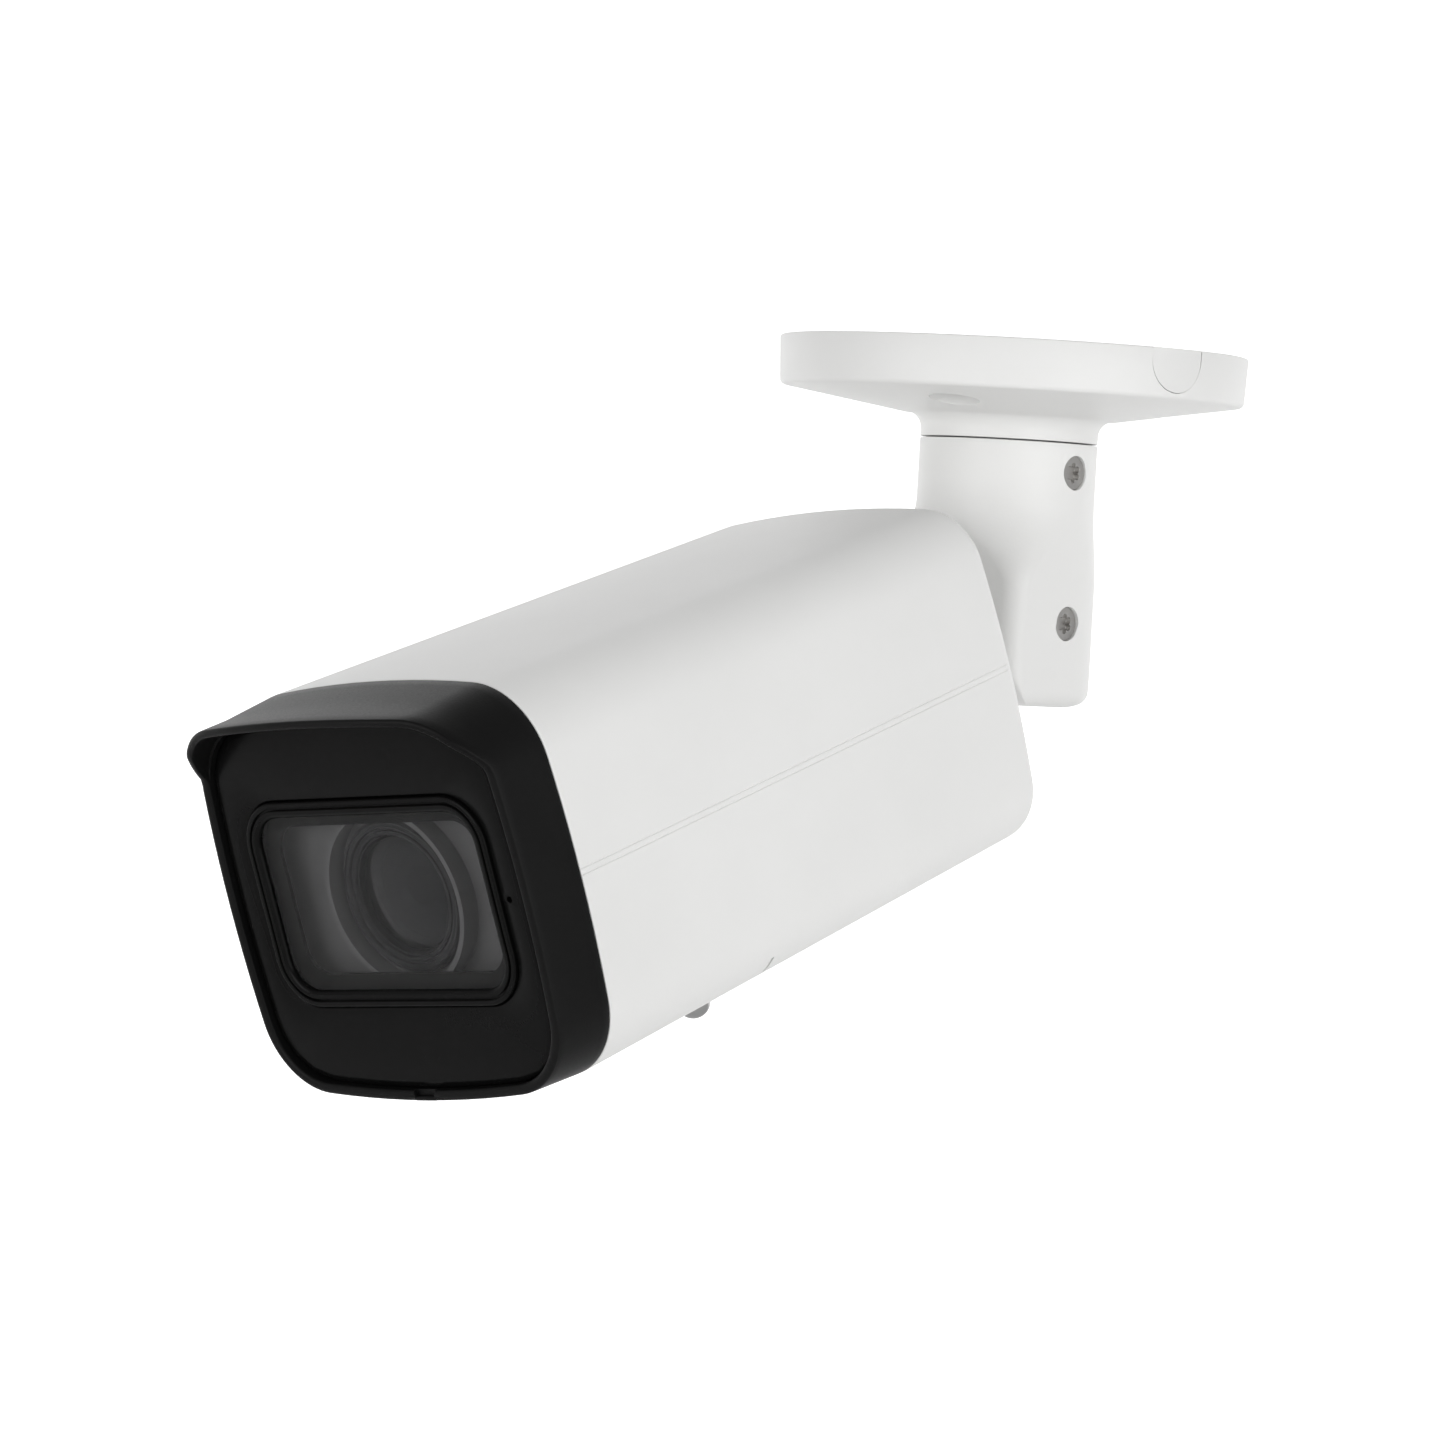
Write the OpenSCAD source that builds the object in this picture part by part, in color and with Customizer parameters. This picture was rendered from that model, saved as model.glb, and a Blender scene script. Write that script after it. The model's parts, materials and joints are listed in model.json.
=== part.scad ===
// Security camera: a bullet body on a three-axis ceiling arm.
// Millimetres. The origin is the centre of the base's mounting face, +Z points into the ceiling.
// The lens looks towards -Y. At rest the body hangs nose-down and is rolled a little.

/* [Base] */
// Radius of the round base against the ceiling
base_r = 45.6; // [44:0.2:48]
// Height of the base's outer rim
rim_h = 9.7; // [9:0.1:12]
// Radius of the neck below the base, and of the arm
neck_r = 17.3; // [17:0.1:18]
// Radius of the circle of mounting holes
hole_circle_r = 32; // [31:0.5:33]
// Diameter of each mounting hole
hole_d = 5; // [4:0.1:5.5]

/* [Arm] */
// Drop from the mounting face to the tilt axis
pivot_drop = 53.2; // [53:0.1:56]
// Tilt of the body at rest, nose-down
rest_tilt = 18.5; // [15:0.5:40]
// Roll of the body at rest about its own axis
rest_roll = -5.7; // [-10:0.1:10]
// Distance from the front rim of the hood to the tilt axis
pivot_back = 174.4; // [174:0.2:180]

/* [Body] */
// Width of the body where the hood meets the shell
body_w = 79; // [78:0.5:81]
// Height of the body at the same place
body_h = 74.4; // [74:0.2:76]
// Radius of the body's long corners
corner_r = 15.5; // [14:0.5:17]
// Length from the hood's front rim to the rear face
body_l = 137.5; // [136:0.5:139]
// Length of the black hood behind its rim
hood_l = 12.7; // [12:0.1:13.5]
// Reach of the visor in front of the rim
visor_reach = 12.5; // [9:0.5:14]
// How far each side draws in from the hood to the rear
taper = 3.7; // [2:0.1:4]

/* [Window and lens] */
// Half width of the raised window frame
frame_hw = 30.6; // [30:0.1:31]
// Half height of the raised window frame
frame_hh = 19.1; // [19:0.1:20]
// Radius of the lens barrel
barrel_r = 14.2; // [13.8:0.1:14.4]
// Teeth on each lens ring
ring_teeth = 60; // [60:60:60]
// Teeth on each motor pinion
pinion_teeth = 12; // [12:12:12]

/* [Hidden] */
$fn = 64;
eps = 0.01;
gap = 0.15;                        // assembly clearance between fixed parts
run = 0.05;                        // radial running clearance
face_gap = 0.3;                    // gap between faces that turn past each other
press = 0.02;                      // radial clearance of screws and pins in their holes
past = 60;                         // length of a cutter that goes right through

// section of the body: rounded box with crowned sides
crown_top = 1.15;
crown_side = 0.9;
corner_x = body_w / 2 - crown_side - corner_r;
corner_z = body_h / 2 - crown_top - corner_r;
corner_steps = 10;
crown_steps = 6;
rim_inset = 0.8;                   // the hood is this much smaller at its front rim
wall = 2.2;                        // shell wall
hood_wall = 1.9;
visor_wall = 1.5;
visor_low = 24;                    // height at which the visor runs out into the rim
visor_rise = 1.35;                 // slope of the visor's side edge
rear_fillet = 4;
rear_fillet_steps = 5;
groove_z = [1.6, 0.5];             // the two fine lines along each side
groove_w = 0.45;
groove_depth = 0.4;

// front
panel_front = 1.3;
panel_t = 2.2;
panel_bevel = 1.2;                 // width of the bevel round the panel
bevel_depth = 0.4;
panel_inset = rim_inset + hood_wall + gap;
frame_front = 0.7;
frame_lip = 3;                     // width of the frame round the glass
frame_corner = 9;
glass_front = 1.6;
glass_t = 2;
glass_ledge = 1.5;                 // glass hidden behind the frame
gasket_t = 0.8;
gasket_w = 2.3;                    // gasket that shows inside the frame as a black border
glass_back = glass_front + glass_t;
gasket_back = glass_back + gasket_t;
frame_back = gasket_back + 1;
mic_x = 32.6;
mic_r = 0.6;
notch_w = 5;
notch_wall = 0.9;
rim_round = 0.5;
hood_spigot = 5;                   // length of the hood that plugs into the shell

// lens
lens_z = -0.5;
barrel_front = 6.2;
shield_r = 16.9;
front_glass_r = 10.4;
aperture_r = 3.4;
zoom_y = 22;
focus_y = 34;
ring_l = 8;
gear_l = 3;
tooth_m = 0.6;
backlash = 0.12;
ring_pitch_r = tooth_m * ring_teeth / 2;
pinion_pitch_r = tooth_m * pinion_teeth / 2;
gear_centre = ring_pitch_r + pinion_pitch_r;
pinion_bore_r = 1;
ring_seat_r = front_glass_r + 3;    // part of the barrel the rings turn on
motor_r = 4;
motor_end = 10;
zoom_dir = 30;                     // direction of each motor from the lens axis
focus_dir = 150;
flange_y = 46;
flange_r = 17;
flange_t = 2.5;
filter_y = flange_y + flange_t + 2.4;
filter_t = 1.2;
filter_wall = 2;
filter_travel = 9;
filter_h = 10;                     // half height of the carrier's slot
window_hw = 4;
window_hh = 6;
sensor_y = 58;
board_t = 1.6;

// chassis and electronics
tray_z = -25;
tray_t = 2;
tray_w = 52;
tray_y0 = 44;
tray_y1 = 124;
plate_h = 50;
post_h = 6;
post_r = 2.5;
screw_r = 1.5;
main_y0 = 66;
main_y1 = 120;
main_w = 46;
board_z = tray_z + post_h;
foot_x = 12;
foot_y0 = 72;
foot_y1 = tray_y1 - 4;
tap_r = 1.2;                       // screw hole in the chassis
small_head_r = 2.4;
small_head_h = 1.4;
chip_y = 96;
socket_y = 46;
socket_l = 15;
socket_h = 2.2;
button_x = 12;
button_y = 50;
button_r = 1.6;
button_clear = 0.1;
button_proud = 1;
chip_size = 14;
chip_t = 1.4;

// card cover under the body
cover_y0 = 24;
cover_y1 = 62;
cover_hw = 22;
cover_t = 2;
cover_lift = 0.6;                  // inside of the cover above the shell's wall
cover_screw_x = 18;
cover_screw_y = 52;
dome_r = 3.2;
dome_h = 3.2;
drain_y = 59;
drain_x = 31.2;
drain_l = 2;
drain_w = 0.8;

// rear cover and roll joint
rear_inset = taper + 7;
rear_t = 4;
seal_t = 1;
ledge_t = 3;                       // ledge of the shell that carries the rear cover
ledge_inset = taper + 11.8;
seat_y = body_l - rear_t - seal_t;
inside_end = seat_y - ledge_t;
rear_screw_x = 24.4;
rear_screw_z = 21.85;
boss_r = 16;
boss_l = 7;
roll_r = 10.3;
boss_end = body_l + boss_l;
knuckle_front = body_l - rear_t - 4;
ring_y = knuckle_front + 1.6;      // ring that keeps the knuckle in the rear cover
ring_t = 1.1;
cable_hole_r = 2.8;

// tilt joint
cheek_in = 6.5;                    // half width of the slot in the arm
washer_t = 0.5;
drum_r = 11.5;
drum_hw = cheek_in - washer_t - run;
drum_cavity_hw = 3.8;
drum_cavity_r = 8.5;
cable_r = 4;
neck_wall = 1.9;                   // wall of the knuckle round its cable passage
pin_r = 2.5;
arm_hw = 17;
arm_front = 15.5;
arm_end_r = 16.3;
arm_end_corner = 13;               // roundings of the arm's lower end, seen from the side and the front
arm_side_corner = 5;
head_x = arm_hw - 2.2;             // seat of the lock screws' heads
head_top = arm_hw - 0.4;
torx_r = 3.2;
torx_recess = 1.2;

// pan joint
cone_z = -rim_h - 3.9;
neck_fillet = 3;
neck_end = -rim_h - 8.5;
arm_top = neck_end - face_gap;
spigot_r = 12;
spigot_end = neck_end - 12;
base_bore_r = 8;
o_ring_z = spigot_end + 1.2;
o_ring_h = 1.8;
o_ring_depth = 0.6;
base_wall = 3;
rim_draft = 0.4;                   // the rim is this much smaller at its lower edge
pan_screw_z = -24.1;
lock_groove_r = 10.5;
lock_groove_hw = 2;
lock_tip_r = 1.5;
lock_shank_r = 2.5;
hole_dir = -70;
entry_dir = -7;
entry_r = 6.4;
entry_low = -8.4;
counterbore_r = 4.9;

// ---------- shared shapes ----------

function arc(c, r, a0, a1, n) =
  [for (i = [0 : n - 1]) let (a = a0 + (a1 - a0) * i / n) [c[0] + r * cos(a), c[1] + r * sin(a)]];

// radius of the crown that touches both corner circles, reach being the corner's distance from the middle
function crown_r(reach, crown) =
  (pow(reach, 2) + pow(corner_r + crown, 2) - pow(corner_r, 2)) / (2 * crown);

// the body's section drawn in by an inset, anticlockwise seen from the front
function outline(inset) = let (
    rt = crown_r(corner_x, crown_top),
    rs = crown_r(corner_z, crown_side),
    ht = asin(corner_x / (rt - corner_r)),
    hs = asin(corner_z / (rs - corner_r)),
    r = corner_r - inset
  ) concat(
    arc([body_w / 2 - rs, 0], rs - inset, -hs, hs, crown_steps),
    arc([corner_x, corner_z], r, hs, 90 - ht, corner_steps),
    arc([0, body_h / 2 - rt], rt - inset, 90 - ht, 90 + ht, crown_steps),
    arc([-corner_x, corner_z], r, 90 + ht, 180 - hs, corner_steps),
    arc([rs - body_w / 2, 0], rs - inset, 180 - hs, 180 + hs, crown_steps),
    arc([-corner_x, -corner_z], r, 180 + hs, 270 - ht, corner_steps),
    arc([0, rt - body_h / 2], rt - inset, 270 - ht, 270 + ht, crown_steps),
    arc([corner_x, -corner_z], r, 270 + ht, 360 - hs, corner_steps)
  );

// inset of the outer surface at a place along the body
function skin(y) = y < hood_l
  ? rim_inset * (hood_l - y) / hood_l
  : taper * (y - hood_l) / (body_l - hood_l);

// inside face of the card cover, where its seal lies
card_seat_z = cover_t + cover_lift - body_h / 2 + skin(cover_y1);

// slab of the body's section, too thin to matter
module slice(y, inset) { along_y(y - eps, y) polygon(outline(inset)); }

// solid through stations [y, inset] from front to back
module loft(stations) {
  for (k = [0 : len(stations) - 2]) hull() for (end = [k, k + 1]) slice(stations[end][0], stations[end][1]);
}

// straight length of the body's section
module prism(y0, y1, inset) { along_y(y0, y1) polygon(outline(inset)); }

module along_y(y0, y1) {
  translate([0, y1, 0]) rotate([90, 0, 0]) linear_extrude(height = y1 - y0) children();
}

module rounded(hw, hh, r) {
  hull() for (x = [-1, 1], z = [-1, 1]) translate([x * (hw - r), z * (hh - r)]) circle(r);
}

module rod_y(y0, y1, r) { translate([0, y0, 0]) rotate([-90, 0, 0]) cylinder(r = r, h = y1 - y0); }
module rod_x(x0, x1, r) { translate([x0, 0, 0]) rotate([0, 90, 0]) cylinder(r = r, h = x1 - x0); }
module at(x, y, z) { translate([x, y, z]) children(); }

// box from a low corner to a high corner
module box(low, high) { translate(low) cube(high - low); }

module tube_y(y0, y1, r_in, r_out) {
  difference() {
    rod_y(y0, y1, r_out);
    rod_y(y0 - eps, y1 + eps, r_in);
  }
}

// places what tilts, drawn from the front rim's centre, into the frame of the base
module on_knuckle() {
  translate([0, 0, -pivot_drop]) rotate([rest_tilt, 0, 0]) translate([0, -pivot_back, 0]) children();
}

// the same for what also rolls
module on_body() { on_knuckle() rotate([0, rest_roll, 0]) children(); }

module on_pivot() { translate([0, 0, -pivot_drop]) children(); }
module on_lens() { translate([0, 0, lens_z]) children(); }

// six-lobed driver recess along +X, its mouth at the origin
module torx_recess_x() {
  lobe_r = torx_r * 0.2;
  lobe_circle = torx_r * 0.42;
  rotate([0, -90, 0]) translate([0, 0, -eps]) linear_extrude(height = torx_recess + eps) {
    circle(lobe_circle);
    for (a = [0 : 60 : 300]) rotate(a) translate([lobe_circle, 0]) circle(lobe_r);
  }
}

// ---------- gears ----------

function involute(rb, a) = [rb * (cos(a) + a * PI / 180 * sin(a)), rb * (sin(a) - a * PI / 180 * cos(a))];

module gear_2d(teeth) {
  rp = tooth_m * teeth / 2;
  rb = rp * cos(20);
  ra = rp + tooth_m;
  rf = rp - 1.25 * tooth_m;
  r0 = max(rb, rf);
  a0 = sqrt(pow(r0 / rb, 2) - 1) * 180 / PI;
  a1 = sqrt(pow(ra / rb, 2) - 1) * 180 / PI;
  pitch_a = sqrt(pow(rp / rb, 2) - 1) * 180 / PI;
  half = 90 / teeth - backlash / (2 * rp) * 180 / PI + (pitch_a - 20);
  steps = 5;
  flank = [for (i = [0 : steps]) involute(rb, a0 + (a1 - a0) * i / steps)];
  function turned(p, a) = [p[0] * cos(a) - p[1] * sin(a), p[0] * sin(a) + p[1] * cos(a)];
  left = [for (p = flank) turned(p, -half)];
  right = [for (i = [steps : -1 : 0]) [left[i][0], -left[i][1]]];
  root = rf * 0.97;
  foot = atan2(left[0][1], left[0][0]);
  foot_point = [root * cos(foot), root * sin(foot)];
  circle(rf);
  for (i = [0 : teeth - 1]) rotate(360 * i / teeth)
    polygon(concat([foot_point], left, right, [[foot_point[0], -foot_point[1]]]));
}

// ---------- base ----------

module base_profile() {
  edge = 1;
  fillet_x = neck_r + neck_fillet;
  polygon(concat(
    [[base_bore_r, 0], [base_r - edge / 2, 0], [base_r, -edge / 2]],
    arc([base_r - rim_draft - edge, edge - rim_h], edge, 0, -60, 4),
    arc([fillet_x, cone_z - neck_fillet], neck_fillet, 82, 180, 6),
    [[neck_r, cone_z - neck_fillet], [neck_r, neck_end], [spigot_r, neck_end],
     [spigot_r, pan_screw_z + lock_groove_hw], [lock_groove_r, pan_screw_z + lock_groove_hw],
     [lock_groove_r, pan_screw_z - lock_groove_hw], [spigot_r, pan_screw_z - lock_groove_hw],
     [spigot_r, spigot_end], [base_bore_r, spigot_end]]
  ));
}

module each_hole() {
  for (a = [0, 120, 240]) rotate(hole_dir + a) translate([hole_circle_r, 0, 0]) children();
}

module base_pocket() {
  boss = counterbore_r + 1.8;
  difference() {
    rotate_extrude() polygon([
      [spigot_r + base_wall, 1], [base_r - base_wall, 1],
      [base_r - base_wall, base_wall - rim_h], [spigot_r + base_wall, cone_z + base_wall]]);
    each_hole() translate([0, 0, cone_z]) cylinder(r = boss, h = -cone_z + 2);
  }
}

// U-shaped side cable entry, seen from the rim's outside
module entry_shape(grow) {
  rotate(entry_dir) translate([base_r - base_wall - 2, 0, 0]) rotate([90, 0, 90])
    linear_extrude(height = base_wall + 4) {
      translate([0, entry_low + entry_r]) circle(entry_r + grow);
      translate([-entry_r - grow, entry_low + entry_r]) square([2 * (entry_r + grow), 10]);
    }
}

module mount_base() {
  color("white") difference() {
    rotate_extrude($fn = 96) base_profile();
    base_pocket();
    each_hole() {
      translate([0, 0, cone_z - 1]) cylinder(d = hole_d, h = -cone_z + 2);
      translate([0, 0, -20]) cylinder(r = counterbore_r, h = 20 - base_wall - 5);
    }
    entry_shape(gap);
    rotate_extrude() translate([spigot_r - o_ring_depth, o_ring_z]) square([1, o_ring_h]);
  }
}

module cable_entry_plug() {
  color("whitesmoke") intersection() {
    entry_shape(0);
    difference() {
      translate([0, 0, -rim_h]) cylinder(r = base_r - rim_draft / 2, h = rim_h);
      translate([0, 0, -rim_h - 1]) cylinder(r = base_r - base_wall + 0.2, h = rim_h + 2);
    }
  }
}

module pan_o_ring() {
  color("black") rotate_extrude() translate([spigot_r - o_ring_depth, o_ring_z])
    square([o_ring_depth - run, o_ring_h]);
}

// ---------- arm (turns about the vertical pan axis) ----------

// section of the arm's lower half: round at the back, square at the front
module arm_section() {
  front_r = 4;
  back_r = 15;
  hull() for (x = [-1, 1]) {
    translate([x * (arm_hw - back_r), neck_r - back_r]) circle(back_r);
    translate([x * (arm_hw - front_r), front_r - arm_front]) circle(front_r);
  }
}

module arm_outside() {
  shoulder_z = -34;
  translate([0, 0, shoulder_z - 6]) cylinder(r = neck_r, h = arm_top - shoulder_z + 6);
  intersection() {
    translate([0, 0, -80]) linear_extrude(height = 80 + shoulder_z + 4) arm_section();
    union() {
      on_pivot() rotate([90, 0, 90]) translate([0, 0, -arm_hw]) linear_extrude(height = 2 * arm_hw)
        rounded(neck_r, arm_end_r, arm_end_corner);
      box([-arm_hw, -neck_r, -pivot_drop], [arm_hw, neck_r, arm_top]);
    }
    union() {
      on_pivot() along_y(-neck_r, neck_r) rounded(arm_hw, arm_end_r, arm_side_corner);
      box([-arm_hw, -neck_r, -pivot_drop], [arm_hw, neck_r, arm_top]);
    }
    translate([0, 0, shoulder_z - 46]) cylinder(r1 = 50, r2 = 16, h = 50);
  }
}

module arm() {
  slot_back = drum_r + 0.5;
  color("white") difference() {
    arm_outside();
    // seat of the base's spigot, then the cable passage
    translate([0, 0, spigot_end - 0.5]) cylinder(r = spigot_r + run, h = arm_top - spigot_end + 1);
    translate([0, 0, -pivot_drop]) cylinder(r = base_bore_r, h = 40);
    // slot for the knuckle, open to the front and below
    box([-cheek_in, -30, -90], [cheek_in, slot_back, drum_r + 0.6 - pivot_drop]);
    // screws
    translate([0, 0, pan_screw_z]) {
      rod_x(head_x, arm_hw + 1, torx_r + gap);
      rod_x(0, arm_hw, lock_shank_r + press);
    }
    on_pivot() {
      rod_x(head_x, arm_hw + 1, torx_r + gap);
      rod_x(0, arm_hw, pin_r + press);
      rod_x(1 - arm_hw, 0, pin_r + press);
    }
  }
}

module pan_lock_screw() {
  color("silver") translate([0, 0, pan_screw_z]) difference() {
    union() {
      rod_x(head_x, head_top, torx_r);
      rod_x(spigot_r + 0.6, head_x + eps, lock_shank_r);
      rod_x(lock_groove_r + 0.3, head_x, lock_tip_r);
    }
    translate([head_top, 0, 0]) torx_recess_x();
  }
}

module tilt_lock_screw() {
  color("silver") on_pivot() difference() {
    union() {
      rod_x(head_x, head_top, torx_r);
      rod_x(drum_cavity_hw + 0.8, head_x + eps, pin_r);
    }
    translate([head_top, 0, 0]) torx_recess_x();
  }
}

module tilt_pivot_pin() {
  color("silver") on_pivot() rod_x(1 - arm_hw, -drum_cavity_hw - 0.8, pin_r);
}

module tilt_washers() {
  color("dimgray") on_pivot() for (s = [-1, 1]) translate([s * (cheek_in - washer_t / 2), 0, 0])
    difference() {
      rod_x(-washer_t / 2, washer_t / 2, drum_r - 3);
      rod_x(-washer_t, washer_t, pin_r + gap);
    }
}

// ---------- knuckle (turns about the tilt axis) ----------

module tilt_knuckle() {
  color("white") on_knuckle() difference() {
    union() {
      translate([0, pivot_back, 0]) rod_x(-drum_hw, drum_hw, drum_r);
      rod_y(boss_end, pivot_back, cable_r + neck_wall);
      rod_y(knuckle_front, boss_end + 1, roll_r);
      rod_y(boss_end + face_gap, boss_end + 3, boss_r - 1);
    }
    rod_y(0, pivot_back, cable_r);
    translate([0, pivot_back, 0]) {
      rod_x(-drum_cavity_hw, drum_cavity_hw, drum_cavity_r);
      rod_x(-20, 20, pin_r + run);
      box([-drum_cavity_hw, -2, 0], [drum_cavity_hw, drum_r + 2, drum_r + 2]);
    }
    // groove for the retaining ring
    tube_y(ring_y - gap / 2, ring_y + ring_t + gap / 2, roll_r - 1, roll_r + 5);
  }
}

// rubber bush that holds the cable where it enters the body
module cable_grommet() {
  color("black") on_knuckle() tube_y(knuckle_front, knuckle_front + 8, cable_hole_r, cable_r);
}

module roll_retaining_ring() {
  color("dimgray") on_knuckle() difference() {
    tube_y(ring_y, ring_y + ring_t, roll_r - 1 + run, roll_r + 3);
    box([-2, knuckle_front, 0], [2, body_l, 30]);
  }
}

// ---------- shell, hood and front ----------

module side_grooves() {
  for (s = [-1, 1], z = groove_z)
    at(s * (body_w / 2 + 1 - groove_depth), 0, z)
      box([-1, hood_l, -groove_w / 2], [1, body_l - 2, groove_w / 2]);
}

module card_opening(grow) {
  middle = (cover_y0 + cover_y1) / 2;
  rotate([180, 0, 0]) linear_extrude(height = past)
    translate([0, -middle]) rounded(cover_hw + grow, middle - cover_y0 + grow, 3);
}

// hollow of the shell, drawn in by an inset from its walls
module inside_space(inset) {
  loft([[hood_l - 1, wall + inset], [inside_end, taper + wall + inset]]);
}

// slots that let water out at the lower corners
module drain_slots() {
  for (s = [-1, 1]) at(s * drain_x, drain_y, -drain_x) rotate([0, s * 45, 0])
    cube([drain_l, drain_w, 2 * wall], center = true);
}

module outer_shell() {
  fillet_stations = [for (i = [0 : rear_fillet_steps]) let (a = 90 * i / rear_fillet_steps)
    [body_l - rear_fillet + rear_fillet * sin(a), taper + rear_fillet * (1 - cos(a))]];
  color("white") on_body() difference() {
    loft(concat([[hood_l, 0]], fillet_stations));
    inside_space(0);
    prism(seat_y, body_l + 1, rear_inset - gap);
    prism(inside_end - 1, body_l, ledge_inset);
    each_rear_screw() rod_y(-past, 1, screw_r + press);
    side_grooves();
    card_opening(gap);
    drain_slots();
  }
}

module visor_region() {
  // plan: half ellipse; side: the edge runs up from the rim
  intersection() {
    linear_extrude(height = past) polygon(concat([[body_w, 0], [-body_w, 0]],
      [for (i = [-20 : 20]) [body_w / 2 * sin(i * 4.5), -visor_reach * cos(i * 4.5)]]));
    rotate([90, 0, 90]) translate([0, 0, -past]) linear_extrude(height = 2 * past)
      polygon([[0, visor_low], [-20, visor_low + 20 * visor_rise], [-20, 80], [0, 80]]);
  }
}

module hood() {
  inner = rim_inset + hood_wall;
  open_back = hood_l + hood_spigot + 1;
  color([0.12, 0.12, 0.12]) on_body() difference() {
    union() {
      loft([[0, rim_inset + rim_round], [rim_round / 3, rim_inset + rim_round / 3], [rim_round, rim_inset],
            [hood_l - eps, 0]]);
      loft([[hood_l - 1, wall + gap], [hood_l + hood_spigot, wall + gap + 0.2]]);
      intersection() {
        loft([[-visor_reach - 1, rim_inset], [rim_round, rim_inset]]);
        visor_region();
      }
    }
    loft([[-visor_reach - 2, rim_inset + visor_wall], [0, rim_inset + visor_wall]]);
    loft([[-1, inner], [panel_front + panel_t, inner]]);
    loft([[panel_front + panel_t - 1, inner + 2], [open_back, wall + 2.2]]);
    // drain notch on the inside of the rim
    notch_z = notch_wall + rim_inset - body_h / 2;
    box([-notch_w / 2, -1, notch_z], [notch_w / 2, panel_front, notch_z + hood_wall]);
  }
}

module front_seal() {
  seal_y = hood_l + hood_spigot + gap;
  color("black") on_body() difference() {
    prism(seal_y, seal_y + seal_t, wall + 0.35);
    prism(seal_y - 1, seal_y + seal_t + 1, wall + 2.2);
  }
}

module front_panel() {
  color([0.12, 0.12, 0.12]) on_body() difference() {
    union() {
      loft([[panel_front, panel_inset + panel_bevel], [panel_front + bevel_depth, panel_inset]]);
      prism(panel_front + bevel_depth - 2 * eps, panel_front + panel_t - gap, panel_inset);
    }
    along_y(-1, 20) rounded(frame_hw + gap, frame_hh + gap, frame_corner);
    translate([mic_x, 0, 0]) rod_y(0, 20, mic_r);
  }
}

module window_frame() {
  flange = 1.2;
  color([0.1, 0.1, 0.1]) on_body() difference() {
    union() {
      along_y(frame_front, frame_back) rounded(frame_hw, frame_hh, frame_corner);
      along_y(panel_front + panel_t, frame_back)
        rounded(frame_hw + flange, frame_hh + flange, frame_corner + flange);
    }
    along_y(0, glass_front) rounded(frame_hw - frame_lip, frame_hh - frame_lip, frame_corner - frame_lip);
    along_y(glass_front - eps, frame_back + 1) glass_outline(0);
    along_y(frame_front - 1, frame_front + 0.5) difference() {
      rounded(frame_hw - 1.1, frame_hh - 1.1, frame_corner - 1.1);
      rounded(frame_hw - 1.6, frame_hh - 1.6, frame_corner - 1.6);
    }
  }
}

module glass_outline(grow) {
  rounded(frame_hw - frame_lip + glass_ledge + grow, frame_hh - frame_lip + glass_ledge + grow,
    frame_corner - glass_ledge);
}

module window_glass() {
  color([0.8, 0.85, 0.9, 0.3]) on_body() along_y(glass_front, glass_back) glass_outline(-gap);
}

module window_gasket() {
  clear = frame_lip + gasket_w;
  color("black") on_body() along_y(glass_back, gasket_back) difference() {
    glass_outline(-gap);
    rounded(frame_hw - clear, frame_hh - clear, frame_corner - frame_lip - 1);
  }
}

module microphone() {
  color("gold") on_body() at(mic_x, panel_front + panel_t - gap, 0) box([-0.7, 0, -1.9], [1.4, 1, 1.9]);
}

// ---------- rear ----------

module rear_cover() {
  inside = body_l - rear_t;
  color("white") on_body() difference() {
    union() {
      prism(inside, body_l, rear_inset);
      rod_y(body_l - eps, boss_end, boss_r);
    }
    rod_y(inside - 1, boss_end + 1, roll_r + run);
    each_rear_screw() rod_y(-past, 1, screw_r + gap);
    at(0, body_l + boss_l / 2, 0) rotate([180, 0, 0]) cylinder(r = screw_r + press, h = boss_r + 1);
  }
}

module each_rear_screw() {
  for (x = [-1, 1], z = [-1, 1]) at(x * rear_screw_x, body_l, z * rear_screw_z) children();
}

module rear_seal() {
  color("black") on_body() difference() {
    prism(seat_y, seat_y + seal_t, rear_inset);
    prism(seat_y - 1, body_l, ledge_inset);
    each_rear_screw() rod_y(-past, 1, screw_r + gap);
  }
}

module rear_cover_screws() {
  head_t = 1.8;
  color("silver") on_body() each_rear_screw() {
    rod_y(0, head_t, screw_r + 1.3);
    rod_y(inside_end - body_l + 0.5, eps, screw_r);
  }
}

module roll_lock_screw() {
  color("silver") on_body() at(0, body_l + boss_l / 2, 0) rotate([180, 0, 0])
    translate([0, 0, roll_r + 0.3]) cylinder(r = screw_r, h = boss_r - roll_r - 0.8);
}

// ---------- card cover ----------

module card_cover() {
  color("white") on_body() difference() {
    intersection() {
      card_opening(0);
      loft([[hood_l, 0], [body_l, taper]]);
    }
    box([-body_w, 0, card_seat_z], [body_w, body_l, body_h]);
    each_cover_screw() translate([0, 0, -past]) cylinder(r = screw_r + gap, h = past);
  }
}

module each_cover_screw() {
  for (x = [-1, 1]) at(x * cover_screw_x, cover_screw_y, 0) children();
}

// flat gasket between the shell's inside and the cover
module card_cover_seal() {
  color("black") on_body() intersection() {
    difference() {
      card_opening(-0.6);
      translate([0, 0, eps]) card_opening(-2.4);
    }
    box([-body_w, 0, card_seat_z], [body_w, body_l, card_seat_z + seal_t]);
    difference() {
      box([-body_w, 0, -body_h], [body_w, body_l, 0]);
      each_cover_screw() translate([0, 0, -past]) cylinder(r = screw_r + gap, h = past);
    }
  }
}

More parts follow.
